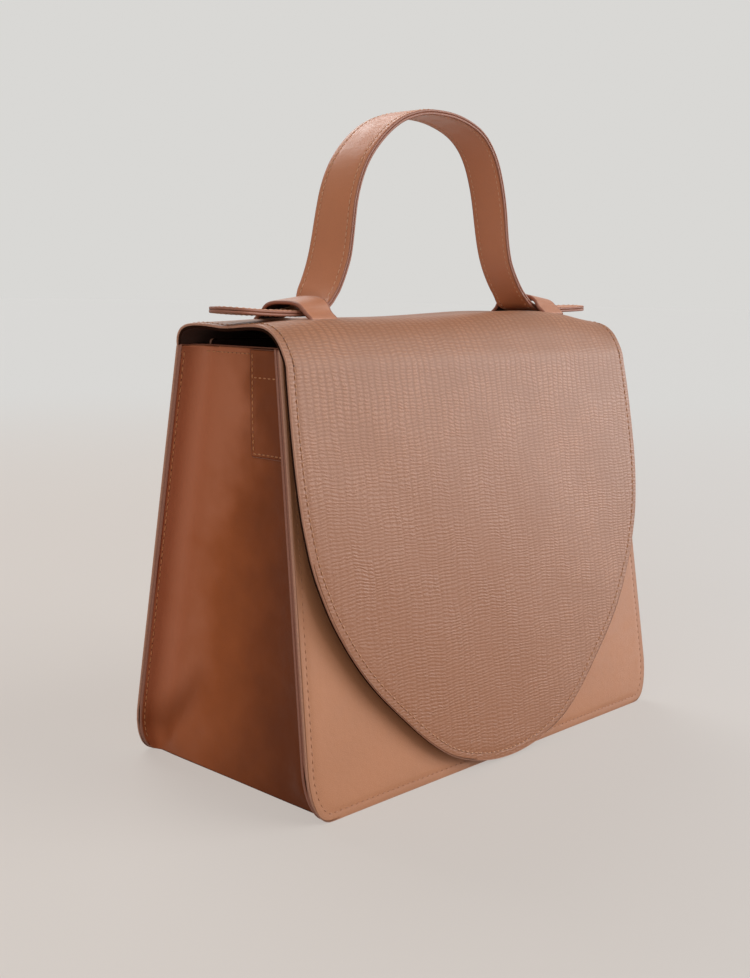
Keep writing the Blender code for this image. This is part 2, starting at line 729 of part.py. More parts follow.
def arch_half_width(point):
    """Half width of the arch, whose feet are round about the tilt axis."""
    radius = STRAP_WIDTH / 2
    drop = max(HANDLE_AXIS_Z - point.y, 0)
    return math.sqrt(radius ** 2 - drop ** 2)


def point_between(path, axis, value):
    """The first place where a path passes a coordinate's value."""
    for first, second in zip(path, path[1:]):
        a, b = Vector(first), Vector(second)
        if min(a[axis], b[axis]) <= value <= max(a[axis], b[axis]):
            return tuple(a.lerp(b, (value - a[axis]) / (b[axis] - a[axis])))
    return path[-1]


def build_handle(top_parent):
    """The arched handle and its two ends, each of two strap plies."""
    path = strap_path()
    radius = STRAP_WIDTH / 2
    tilt_axis = empty("handle_axis", (0, HANDLE_CENTRE_Y, HANDLE_AXIS_Z), top_parent)
    nose = [point_between(path, 0, TONGUE_REACH - radius * share) for share in TIP_SHARES]
    flat = [p for p in path if p[0] < TONGUE_REACH - radius and p[1] < HANDLE_AXIS_Z - HANDLE_FOOT_DROP]
    foot = [(-x, z) for x, z in nose + flat]
    leg = path[PATH_SAMPLES * len(TONGUE_SHARES):]
    low = [point_between(leg, 1, HANDLE_AXIS_Z - radius * share) for share in LEG_SHARES]
    half_arch = low + [p for p in leg if p[1] > HANDLE_AXIS_Z]
    arch = [(-x, z) for x, z in half_arch] + half_arch[-2::-1]
    across = Matrix.Translation((0, HANDLE_CENTRE_Y, 0)) @ Matrix.Rotation(math.pi / 2, 4, "Z")
    turned = Matrix.Translation((0, HANDLE_CENTRE_Y, 0)) @ Matrix.Rotation(-math.pi / 2, 4, "Z")
    room = swing_room(across)
    for ply, side in (("outer", 1), ("inner", -1)):
        near = side * STRAP_PLY_GAP / 2
        far = side * (STRAP_PLY_GAP / 2 + STRAP_PLY)
        sheet = strip(arch, arch_half_width, near, far, 2)
        solid("handle_arch_" + ply, sheet, caramel, across, tilt_axis)
        for name, matrix in (("right", across), ("left", turned)):
            sheet = strip(foot, tongue_half_width, near, far, 2)
            item = solid("handle_end_" + name + "_" + ply, sheet, caramel, matrix, top_parent)
            cut(item, room)


def swing_room(matrix):
    """Room round the arch's round feet, in which they swing."""
    mesh = bmesh.new()
    radius = STRAP_WIDTH / 2 + FIT_GAP
    length = 2 * (TONGUE_REACH + CUT_OVERRUN)
    spin = Matrix.Translation((0, 0, HANDLE_AXIS_Z)) @ Matrix.Rotation(math.pi / 2, 4, "X")
    bmesh.ops.create_cone(mesh, cap_ends=True, segments=64, radius1=radius, radius2=radius,
                          depth=length, matrix=spin)
    return hidden_cutter("handle_swing_room", mesh, matrix)


clear_scene()
caramel = principled("caramel leather", CARAMEL, 0.5)
embossed = principled("embossed leather", EMBOSSED, 0.45)
saddle = principled("saddle leather", SADDLE, 0.5)
lining = principled("lining", INNER_BROWN, 0.8)
board = principled("board", BOARD_GREY, 0.85)
steel = principled("steel", STEEL, 0.35, 1.0)
brass = principled("brass", BRASS, 0.3, 1.0)
cutter_material = principled("cutter", EDGE_BROWN, 0.5)

build_walls()
build_gussets()
build_patches()
build_rings()
build_base()
build_pocket()
flap_axis = build_flap()
build_keepers(flap_axis)
build_handle(flap_axis)
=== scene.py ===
"""Looks for the small structured handbag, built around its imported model."""

import json
import math

import bmesh
import bpy
import numpy as np
from mathutils import Matrix, Vector


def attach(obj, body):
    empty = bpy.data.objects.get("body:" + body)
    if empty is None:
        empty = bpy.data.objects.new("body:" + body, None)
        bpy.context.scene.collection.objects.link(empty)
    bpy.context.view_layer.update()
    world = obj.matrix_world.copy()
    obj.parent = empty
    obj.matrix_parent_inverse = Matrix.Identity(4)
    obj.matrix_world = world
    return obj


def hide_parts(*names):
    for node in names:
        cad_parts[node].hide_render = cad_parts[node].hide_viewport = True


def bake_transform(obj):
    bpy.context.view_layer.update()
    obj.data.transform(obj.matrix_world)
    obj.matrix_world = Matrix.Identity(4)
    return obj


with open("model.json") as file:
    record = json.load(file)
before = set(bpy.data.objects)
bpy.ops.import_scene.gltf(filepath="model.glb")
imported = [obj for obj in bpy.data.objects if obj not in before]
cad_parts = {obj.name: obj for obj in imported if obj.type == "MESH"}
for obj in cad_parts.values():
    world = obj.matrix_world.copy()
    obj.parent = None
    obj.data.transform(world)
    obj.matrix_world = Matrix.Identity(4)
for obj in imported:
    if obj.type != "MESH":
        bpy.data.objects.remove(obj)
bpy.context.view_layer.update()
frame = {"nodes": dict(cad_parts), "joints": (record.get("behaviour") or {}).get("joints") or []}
nodes = frame["nodes"]

MM = 0.001
MIRROR = np.array([-1, 1])

# Body
BOTTOM_HALF = 119.0 * MM
TOP_HALF = 112.5 * MM
BOTTOM_DEPTH = 58.0 * MM
LEAN = 0.1431
HEIGHT = 181.7 * MM
CORNER_REACH = 12.0 * MM
CORNER_RISE = 22.0 * MM
TOP_CORNER = 1.5 * MM
SLOPE_COS = 1 / math.sqrt(1 + LEAN ** 2)

# Walls: thickness and rim radius of each layer, and how deep it lies
PANEL, PANEL_RIM = 1.4 * MM, 0.5 * MM
LINING, LINING_RIM = 0.85 * MM, 0.4 * MM
LINING_DEPTH = 1.5 * MM
INSIDE_DEPTH = 2.45 * MM
WALL_BOW = 0.9 * MM
WALL_UNEVEN = 0.12 * MM
POCKET, POCKET_RIM = 0.9 * MM, 0.4 * MM
POCKET_HALF = 65.0 * MM
POCKET_LOW, POCKET_HIGH = 41.2 * MM, 118.5 * MM

# Gussets and their patches
GUSSET, GUSSET_RIM = 1.3 * MM, 0.6 * MM
GUSSET_INSET = 12.0 * MM
GUSSET_FOLDS = (5.0 * MM, 9.0 * MM)
TIGHT_FOLD = 3.0 * MM
GUSSET_DISH = 3.2 * MM
DEEPEST = -0.45
CREASE_DEPTH, CREASE_WIDTH, CREASE_HEIGHT = 1.5 * MM, 5.0 * MM, 65.0 * MM
GUSSET_TOP = 181.1 * MM
PATCH, PATCH_RIM = 1.1 * MM, 0.45 * MM
PATCH_BACK = -2.2 * MM
PATCH_FRONT = -22.4 * MM
PATCH_LOW = 136.8 * MM
PATCH_HIGH = 180.3 * MM
PATCH_CROSS = 168.9 * MM
PATCH_LIFT = PATCH + 0.2 * MM

# Base: heights of the tray's rim and floor, and of the lining sheet's edges
TRAY_RIM, TRAY_FLOOR = 9.2 * MM, 2.2 * MM
SHEET_EDGE = ((4.5 * MM, 0.3 * MM), (4.7 * MM, 0), (5.3 * MM, 0), (5.5 * MM, 0.3 * MM))

# Flap
FLAP_LEATHER, FLAP_RIM = 1.3 * MM, 0.45 * MM
FLAP_LINING, FLAP_LINING_RIM = 1.1 * MM, 0.4 * MM
FLAP_TOP_HALF = 113.2 * MM
FLAP_TIP_Z = 1.2 * MM
FLAP_SPLIT_Z, FRONT_FOLD_Z = 180.8 * MM, 184.0 * MM
FLAP_HALVES = ((163, 114.0), (150, 114.6), (135, 114.8), (120, 114.2), (110, 113.0), (100, 111.3),
               (91, 108.7), (79.3, 104.2), (70, 99.3), (61.5, 94.0), (52.3, 87.2), (43, 79.0), (32, 67.7),
               (19, 53.0), (9.2, 38.0), (3.2, 19.5), (1.2, 0.0))
ANCHOR_HALF = 97.5 * MM
ANCHOR_LOW, ANCHOR_HIGH = 151.7 * MM, 183.3 * MM

# Strap and keepers
STRAP_HALF = 10.5 * MM
STRAP_Y = -2.5 * MM
STRAP_BASE = 191.9
STRAP_PLY, STRAP_RIM = 1.2 * MM, 0.5 * MM
KEEPER = 1.6 * MM
KEEPER_RIM = 0.6 * MM
KEEPER_IN = 70.4 * MM
KEEPER_OUT = 84.8 * MM
KEEPER_MIDDLE = (KEEPER_IN + KEEPER_OUT) / 2

# Thread: distances of the seams from the edges, and pitch and length of the stitches
SEAM = 3.4 * MM
FLANGE_SEAM = 2.1 * MM
PATCH_SEAM = 1.6 * MM
STRAP_SEAM = 2.6 * MM
POCKET_SEAM = 2.5 * MM
LONG_STITCH = (3.0 * MM, 2.2 * MM)
TOP_STITCH = (2.7 * MM, 1.9 * MM)
STRAP_STITCH = (2.7 * MM, 2.0 * MM)
PATCH_STITCH = (2.6 * MM, 1.8 * MM)
STITCH_RADIUS = 0.27 * MM
STRAP_STITCH_RADIUS = 0.23 * MM

# How deep the faces dip under their stitches, and how deep the panels' thread lies
PANEL_GROOVE, GUSSET_GROOVE, PATCH_GROOVE = 0.16 * MM, 0.14 * MM, 0.1 * MM
FLAP_GROOVE, STRAP_GROOVE, STRAP_UNDER_GROOVE = 0.18 * MM, 0.12 * MM, 0.1 * MM
PANEL_SINK = 0.4 * MM

# Seeds of the slow unevenness
PANEL_SEED, GUSSET_SEED, FLAP_SEED = 3, 11, 21

# Grid lines this far from a sheet's edge, where seams run
SEAM_LINES = (0.0006, 0.0014, 0.0021, 0.0028, 0.0034, 0.0040, 0.0048, 0.0062, 0.0085)
PATCH_LINES = (0.0005, 0.001, 0.0015, 0.002)
STRAP_LINES = (0.0004, 0.001, 0.0016, 0.0021, 0.0026, 0.0031, 0.0037, 0.0048)
KEEPER_LINES = (0.0005, 0.001, 0.0018)


def smooth(value):
    """Smoothstep of a value clipped to 0..1."""
    value = np.clip(value, 0, 1)
    return value * value * (3 - 2 * value)


def dip(distance, width):
    """A bell curve of height 1 round distance 0."""
    return np.exp(-(distance / width) ** 2)


def wave(a, b, seed):
    """A slow, smooth unevenness between about -1 and 1, from a sum of sines of a and b in metres."""
    rng = np.random.default_rng(seed)
    total = np.zeros(np.broadcast(a, b).shape)
    for _ in range(6):
        k = rng.uniform(25, 110, 2) * rng.choice([-1, 1], 2)
        total = total + np.sin(k[0] * a + k[1] * b + rng.uniform(0, 6.3)) / 6
    return total


def half_width(z):
    """Half the body's width at a height, along the straight sides."""
    return BOTTOM_HALF + (TOP_HALF - BOTTOM_HALF) * z / HEIGHT


def edge_x(z):
    """Half width of the panels' outline, with their round lower corners."""
    drop = np.clip(1 - z / CORNER_RISE, 0, 1)
    return half_width(z) - CORNER_REACH * (1 - np.sqrt(1 - drop ** 2))


def wall_y(z, depth):
    """Distance from the middle plane to a layer of the front or back wall."""
    return BOTTOM_DEPTH - z * LEAN - depth / SLOPE_COS


def curve(points, steps=8):
    """A smooth line through points (Catmull-Rom), with a number of steps from each to the next."""
    points = np.array(points, float)
    ends = np.concatenate([2 * points[:1] - points[1:2], points, 2 * points[-1:] - points[-2:-1]])
    t = (np.arange(steps) / steps)[:, None]
    parts = []
    for p0, p1, p2, p3 in zip(ends, ends[1:], ends[2:], ends[3:]):
        parts.append(0.5 * (2 * p1 + (p2 - p0) * t + (2 * p0 - 5 * p1 + 4 * p2 - p3) * t ** 2
                            + (3 * p1 - p0 - 3 * p2 + p3) * t ** 3))
    return np.concatenate(parts + [points[-1:]])


def length_along(path):
    """Length from a path's start to each of its points."""
    return np.r_[0, np.cumsum(np.linalg.norm(np.diff(path, axis=0), axis=1))]


def points_at(path, lengths, at):
    """Points of a path at some lengths, from the length at each of its own points."""
    return np.stack([np.interp(at, lengths, path[:, k]) for k in range(2)], axis=-1)


def unit(vectors):
    """Vectors scaled to a length of 1."""
    return vectors / np.maximum(np.linalg.norm(vectors, axis=-1, keepdims=True), 1e-12)


def to_the_right(ways):
    """Flat directions turned to their right by 90 degrees."""
    return np.stack([ways[:, 1], -ways[:, 0]], axis=1)


# Outlines: four sides, each a function of a share 0..1 that gives points (a, b)

def line(start, end):
    """A straight side."""
    start, end = np.array(start, float), np.array(end, float)
    return lambda t: start + (end - start) * np.asarray(t)[:, None]


def polyline(points):
    """A side along many points, walked at an even pace."""
    points = np.array(points, float)
    steps = length_along(points)
    steps /= steps[-1]
    return lambda t: points_at(points, steps, t)


def arc(a, b, radius, start, turn=90, count=9):
    """Points round a centre (a, b), from a start angle through a turn, in degrees."""
    angles = np.radians(np.linspace(start, start + turn, count))
    return np.stack([a + radius * np.cos(angles), b + radius * np.sin(angles)], axis=1)


def rounded_box(a0, a1, b0, b1, radii):
    """Four sides of a rectangle with round corners, split at the middle of each corner."""
    low_left = arc(a0 + radii[0], b0 + radii[0], radii[0], 180)
    low_right = arc(a1 - radii[1], b0 + radii[1], radii[1], 270)
    high_right = arc(a1 - radii[2], b1 - radii[2], radii[2], 0)
    high_left = arc(a0 + radii[3], b1 - radii[3], radii[3], 90)

    def between(first, second):
        return np.concatenate([first[4:], second[:5]])
    return [polyline(side) for side in (between(low_left, low_right), between(low_right, high_right),
                                        between(high_right, high_left)[::-1],
                                        between(high_left, low_left)[::-1])]


def shares(length, step, fine=SEAM_LINES, ends=(True, True)):
    """Shares along a side: fine steps near its ends, where seams run, and even steps between."""
    fine = [f for f in fine if f < length * 0.4]
    low = [0.0] + (fine if ends[0] else [])
    high = [length] + ([length - f for f in fine] if ends[1] else [])
    inside = max(int((high[-1] - low[-1]) / step), 2)
    middle = np.linspace(low[-1], high[-1], inside + 1)[1:-1]
    return np.array(sorted(low + list(middle) + high)) / length


def coons(sides, u, v):
    """Grid of points filled in between four sides (Coons patch): the two blends of opposite sides, less the
    corners' blend."""
    bottom, right, top, left = sides[0](u), sides[1](v), sides[2](u), sides[3](v)
    uu, vv = u[None, :, None], v[:, None, None]
    flat = (1 - vv) * bottom[None] + vv * top[None] + (1 - uu) * left[:, None] + uu * right[:, None]
    corners = (1 - uu) * (1 - vv) * bottom[0] + uu * (1 - vv) * bottom[-1]
    return flat - corners - (1 - uu) * vv * top[0] - uu * vv * top[-1]


def outline_of(sides, count=160):
    """The closed outline as one list of points, anticlockwise."""
    t = np.linspace(0, 1, count)
    bottom, right, top, left = (side(t) for side in sides)
    return np.concatenate([bottom[:-1], right[:-1], top[::-1][:-1], left[::-1][:-1]])


def distance_to(points, outline):
    """Shortest distance from each point to a closed outline."""
    a, b = outline, np.roll(outline, -1, axis=0)
    d = b - a
    keep = (d ** 2).sum(1) > 1e-14
    a, d = a[keep], d[keep]
    best = np.full(len(points), np.inf)
    for start in range(0, len(points), 4000):
        p = points[start:start + 4000, None]
        t = np.clip(((p - a) * d).sum(-1) / (d ** 2).sum(-1), 0, 1)
        best[start:start + 4000] = np.sqrt((((p - a) - d * t[..., None]) ** 2).sum(-1)).min(1)
    return best


def frame_at(surface, points, sign):
    """Place, unit normal times a sign, and the two directions of a surface at points (a, b)."""
    step = 0.00005
    a, b = points[..., 0], points[..., 1]
    along_a = (surface(a + step, b) - surface(a - step, b)) / (2 * step)
    along_b = (surface(a, b + step) - surface(a, b - step)) / (2 * step)
    return surface(a, b), unit(np.cross(along_a, along_b)) * sign, along_a, along_b


# Meshes

def make_object(name, verts, faces, groups, materials, uv=None, edge=None):
    """A mesh object from arrays: a material per face, a UV map in centimetres and an edge value per point."""
    mesh = bpy.data.meshes.new(name)
    mesh.from_pydata([tuple(v) for v in verts], [], faces)
    for material in materials:
        mesh.materials.append(material)
    mesh.polygons.foreach_set("material_index", groups)
    mesh.polygons.foreach_set("use_smooth", [True] * len(faces))
    if uv is not None:
        layer = mesh.uv_layers.new(name="UVMap")
        corner = np.zeros(len(mesh.loops), int)
        mesh.loops.foreach_get("vertex_index", corner)
        layer.data.foreach_set("uv", (uv[corner] * 100).astype(np.float32).ravel())
    if edge is not None:
        attribute = mesh.attributes.new("edge", "FLOAT", "POINT")
        attribute.data.foreach_set("value", edge.astype(np.float32))
    mesh.update()
    item = bpy.data.objects.new(name, mesh)
    bpy.context.scene.collection.objects.link(item)
    return item


def face_outwards(item):
    """Turn every face of a closed mesh outwards."""
    mesh = bmesh.new()
    mesh.from_mesh(item.data)
    bmesh.ops.recalc_face_normals(mesh, faces=mesh.faces)
    mesh.to_mesh(item.data)
    mesh.free()


def sheet(name, surface, sides, u, v, thickness, radius, sign, materials, relief=None, open_sides=()):
    """A leather sheet: an outer face on the surface, an inner face a thickness below it along the normal,
    and a rounded rim that turns from one to the other on a quarter circle at each face.
    relief moves the outer face along its normal by a function of edge distance, a and b.
    A side named in open_sides, bottom or top, keeps its place, because another sheet continues it there.
    sign is 1 where the outer side is that of the a and b directions' cross product, and -1 otherwise."""
    grid = coons(sides, u, v)
    m, n = grid.shape[:2]
    loop = [(0, j) for j in range(n)] + [(i, n - 1) for i in range(1, m)]
    loop += [(m - 1, j) for j in range(n - 2, -1, -1)] + [(i, 0) for i in range(m - 2, 0, -1)]
    rows, cols = np.array(loop).T
    rim = grid[rows, cols]
    ahead = to_the_right(unit(np.roll(rim, -1, axis=0) - rim))
    behind = np.roll(ahead, 1, axis=0)
    outward = (behind + ahead) / np.maximum(1 + (behind * ahead).sum(1), 0.5)[:, None]
    area = (rim[:, 0] * np.roll(rim[:, 1], -1) - rim[:, 1] * np.roll(rim[:, 0], -1)).sum()
    outward *= 1 if area > 0 else -1
    for side, row in (("bottom", 0), ("top", m - 1)):
        if side in open_sides:
            outward[rows == row, 1] = 0
    edge_distance = distance_to(grid.reshape(-1, 2), outline_of(sides)).reshape(m, n)
    inset = grid.copy()
    inset[rows, cols] = rim - outward * radius
    place, normal, along_a, along_b = frame_at(surface, inset, sign)
    upper = place
    if relief:
        upper = place + normal * relief(edge_distance, inset[..., 0], inset[..., 1])[..., None]
    lower = place - normal * thickness
    out = (along_a[rows, cols] * outward[:, :1] + along_b[rows, cols] * outward[:, 1:]) * radius
    up = normal[rows, cols] * radius
    turns = np.linspace(0, math.pi / 2, 5)
    rings = [upper[rows, cols] - up + out * math.sin(t) + up * math.cos(t) for t in turns[1:]]
    rings += [lower[rows, cols] + up + out * math.cos(t) - up * math.sin(t) for t in turns[:-1]]
    size, ring = m * n, len(loop)
    ids = np.arange(size).reshape(m, n)
    quads = np.stack([ids[:-1, :-1], ids[:-1, 1:], ids[1:, 1:], ids[1:, :-1]], axis=-1).reshape(-1, 4)
    order = -1 if (area < 0) != (sign < 0) else 1
    faces = quads[:, ::order].tolist() + (quads[:, ::-order] + size).tolist()
    loops = [ids[rows, cols]] + [2 * size + k * ring + np.arange(ring) for k in range(len(rings))]
    loops += [ids[rows, cols] + size]
    for near, far in zip(loops, loops[1:]):
        faces += np.stack([near, far, np.roll(far, -1), np.roll(near, -1)], axis=-1)[:, ::order].tolist()
    groups = [0] * len(quads) + [2] * len(quads) + [1] * (ring * (len(loops) - 1))
    uv = [inset.reshape(-1, 2)] * 2 + [rim + outward * (0.0004 * (k + 1)) for k in range(len(rings))]
    edge = [np.exp(-edge_distance.ravel() / 0.0028)] * 2 + [np.ones(ring * len(rings))]
    verts = np.concatenate([upper.reshape(-1, 3), lower.reshape(-1, 3)] + rings)
    return make_object(name, verts, faces, groups, materials, np.concatenate(uv), np.concatenate(edge))


def loft(name, rings, looks, ring_groups=None, end_group=0, uv=None):
    """A closed skin through rings of equal count, capped at both ends. ring_groups picks each face's look
    round a ring."""
    rings = np.array(rings)
    m, n = rings.shape[:2]
    here = np.arange(n)
    after = np.roll(here, -1)
    strip = np.stack([here, after, after + n, here + n], axis=1)
    faces = (np.arange(m - 1)[:, None, None] * n + strip).reshape(-1, 4).tolist()
    faces += [list(range(n))[::-1], list(range((m - 1) * n, m * n))]
    groups = (ring_groups or [0] * n) * (m - 1) + [end_group] * 2
    verts = rings.reshape(-1, 3)
    item = make_object(name, verts, faces, groups, looks, verts[:, :2] if uv is None else uv, np.zeros(m * n))
    face_outwards(item)
    return item


def hand_over(piece, body, slot, *replaced):
    """Say which body a piece rides and which solids it stands for; slot, the leather it is made of, is not
    used.
    """
    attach(piece, body)
    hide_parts(*replaced)


# Procedural materials

class NodeTree:
    """Short calls that add shader nodes and link them."""

    def __init__(self, tree):
        self.tree = tree

    def link(self, source, target):
        self.tree.links.new(source, target)

    def add(self, kind, inputs, **settings):
        """A new node, each of whose inputs is linked to another node's output or set to a value."""
        node = self.tree.nodes.new(kind)
        for key, value in settings.items():
            setattr(node, key, value)
        for key, value in inputs.items():
            if isinstance(value, bpy.types.NodeSocket):
                self.link(value, node.inputs[key])
            else:
                node.inputs[key].default_value = value
        return node

    def uv(self):
        return self.add("ShaderNodeUVMap", {}, uv_map="UVMap").outputs["UV"]

    def coords(self):
        return self.add("ShaderNodeTexCoord", {}).outputs["Object"]

    def split(self, vector):
        return self.add("ShaderNodeSeparateXYZ", {0: vector}).outputs

    def towards(self, vector, direction):
        """How far a vector points in a direction."""
        node = self.add("ShaderNodeVectorMath", {0: vector, 1: direction}, operation="DOT_PRODUCT")
        return node.outputs["Value"]

    def noise(self, vector, scale, detail=3.0, rough=0.5, distortion=0.0):
        inputs = {"Vector": vector, "Scale": scale, "Detail": detail, "Roughness": rough,
                  "Distortion": distortion}
        return self.add("ShaderNodeTexNoise", inputs).outputs["Fac"]

    def math(self, operation, first, second=0.0, third=0.0):
        return self.add("ShaderNodeMath", {0: first, 1: second, 2: third}, operation=operation).outputs[0]

    def plus(self, first, second):
        return self.math("ADD", first, second)

    def times(self, first, second):
        return self.math("MULTIPLY", first, second)

    def fit(self, value, factor, shift):
        return self.math("MULTIPLY_ADD", value, factor, shift)

    def range(self, value, low, high, out_low=0.0, out_high=1.0, kind="SMOOTHSTEP"):
        inputs = {"Value": value, "From Min": low, "From Max": high, "To Min": out_low, "To Max": out_high}
        return self.add("ShaderNodeMapRange", inputs, interpolation_type=kind).outputs["Result"]

    def mix(self, share, first, second):
        first, second = ((*c, 1) if isinstance(c, tuple) else c for c in (first, second))
        return self.add("ShaderNodeMix", {"Factor": share, 6: first, 7: second}, data_type="RGBA").outputs[2]

    def bump(self, height, distance, strength, normal=None):
        inputs = {"Height": height, "Distance": distance, "Strength": strength}
        if normal is not None:
            inputs["Normal"] = normal
        return self.add("ShaderNodeBump", inputs).outputs["Normal"]


class Nodes(NodeTree):
    """The nodes of one new material, round its Principled shader."""

    def __init__(self, name, roughness, metallic=0.0, sheen=0.0, shine=0.5):
        self.material = bpy.data.materials.new(name)
        self.material.use_nodes = True
        super().__init__(self.material.node_tree)
        self.shader = self.tree.nodes["Principled BSDF"]
        for key, value in (("Roughness", roughness), ("Metallic", metallic), ("Sheen Weight", sheen),
                           ("Specular IOR Level", shine)):
            self.shader.inputs[key].default_value = value

    def mottled(self, value, low, high, colour, dark, light):
        """A colour that goes from a darker to a lighter tone as a value goes from low to high."""
        return self.mix(self.range(value, low, high), tone(colour, dark), tone(colour, light))

    def finish(self, colour, normal, roughness=None):
        self.link(colour, self.shader.inputs["Base Color"])
        self.link(normal, self.shader.inputs["Normal"])
        if roughness is not None:
            self.link(roughness, self.shader.inputs["Roughness"])
        return self.material


# Tones as factors of a leather's red, green and blue: painted shade at the gusset's front fold, a painted
# highlight at its back and top, and painted shade along its crease
FRONT_FOLD_SHADE = (0.38, 0.3116, 0.19)
BACK_HIGHLIGHT = (1.22, 1.6, 2.9)
CREASE_SHADE = (0.55, 0.495, 0.44)
# Across and along the line of the crease's painted shade: factors of Y and Z, and a shift
CREASE_BESIDE, CREASE_ALONG = (0.733, 0.68, -0.0451), (-0.68, 0.733, 0.0337)
# Painted shade on the flap's lower left
LOWER_FLAP_SHADE = (0.82, 0.738, 0.6232)

# Pitch in centimetres of the pattern's columns and rows
COLUMN_PITCH = 0.385
ROW_PITCH = 0.15


def tone(colour, factor):
    """A colour made lighter or darker by one factor, or by one each for red, green and blue."""
    return tuple(float(c) for c in np.minimum(np.array(colour) * factor, 1.0))


def smooth_leather(name, colour, roughness, worn, shine=0.5, painted_gusset_light=False):
    """Smooth full-grain leather: slow blotches, faint pores and creases, and edges darkened by the worn
    share:
    burnished, and on the panel leather painted shade along the edges too. Gusset leather also gets painted
    shade and a painted highlight."""
    n = Nodes(name, roughness, shine=shine)
    uv = n.uv()
    cloud = n.range(n.noise(uv, 1.6, 3.0, 0.6), 0.3, 0.7)
    grain = n.noise(uv, 26.0, 3.0, 0.6)
    pores = n.add("ShaderNodeTexVoronoi", {"Vector": uv, "Scale": 17.0}, feature="DISTANCE_TO_EDGE")
    pores = pores.outputs["Distance"]
    base = n.mottled(n.noise(uv, 0.28, 3.0, 0.55), 0.32, 0.68, colour, 0.96, 1.04)
    base = n.mix(n.times(cloud, 0.5), base, tone(colour, 1.02))
    base = n.mix(n.range(pores, 0.0, 0.12, 0.22, 0.0), base, tone(colour, 0.72))
    # Edges darkened by the worn share: burnishing, and on the panel leather also painted shade along its
    # edges
    base = n.mix(n.times(edge_value(n), worn), base, tone(colour, 0.55))
    # Gusset leather gets painted shade and a painted highlight
    if painted_gusset_light:
        base = gusset_painted_light(n, uv, base, colour)
    height = n.plus(n.times(n.range(pores, 0.0, 0.2), 0.5), n.times(grain, 0.5))
    normal = n.bump(n.noise(uv, 3.2, 3.0, 0.55), 0.00022, 0.35)
    normal = n.bump(height, 0.00005, 0.55, normal)
    return n.finish(base, normal, n.range(cloud, 0.0, 1.0, roughness - 0.05, roughness + 0.06, "LINEAR"))


def edge_value(n):
    """1 at a sheet's edge, falling off within a few millimetres."""
    return n.add("ShaderNodeAttribute", {}, attribute_name="edge").outputs["Fac"]


def gusset_painted_light(n, uv, base, colour):
    """Painted shade towards the front fold, a painted highlight towards the back and the top, and painted
    shade along the crease that runs up from the back lower corner: together they stand in for the shading of
    a deeper dish."""
    place = n.split(n.coords())
    depth = n.plus(place["Y"], n.fit(n.noise(uv, 0.5, 2.0, 0.5), 0.03, -0.015))
    # Painted shade towards the front fold
    base = n.mix(n.range(depth, 0.030, -0.032), base, tone(colour, FRONT_FOLD_SHADE))
    # Painted highlight towards the back, reaching further forward near the top and fading towards the floor
    depth = n.plus(depth, n.range(place["Z"], 0.08, 0.16, 0.0, 0.026))
    painted_highlight = n.times(n.range(depth, 0.012, 0.044), n.range(place["Z"], 0.0, 0.045, 0.35, 1.0))
    base = n.mix(painted_highlight, base, tone(colour, BACK_HIGHLIGHT))
    # Painted shade along the crease from the back lower corner
    beside, along = (n.fit(place["Y"], y, n.fit(place["Z"], z, shift))
                     for y, z, shift in (CREASE_BESIDE, CREASE_ALONG))
    ends = n.times(n.range(along, 0.002, 0.012), n.range(along, 0.064, 0.020))
    crease = n.times(n.range(n.math("ABSOLUTE", beside), 0.011, 0.0), ends)
    return n.mix(n.times(crease, 0.65), base, tone(colour, CREASE_SHADE))


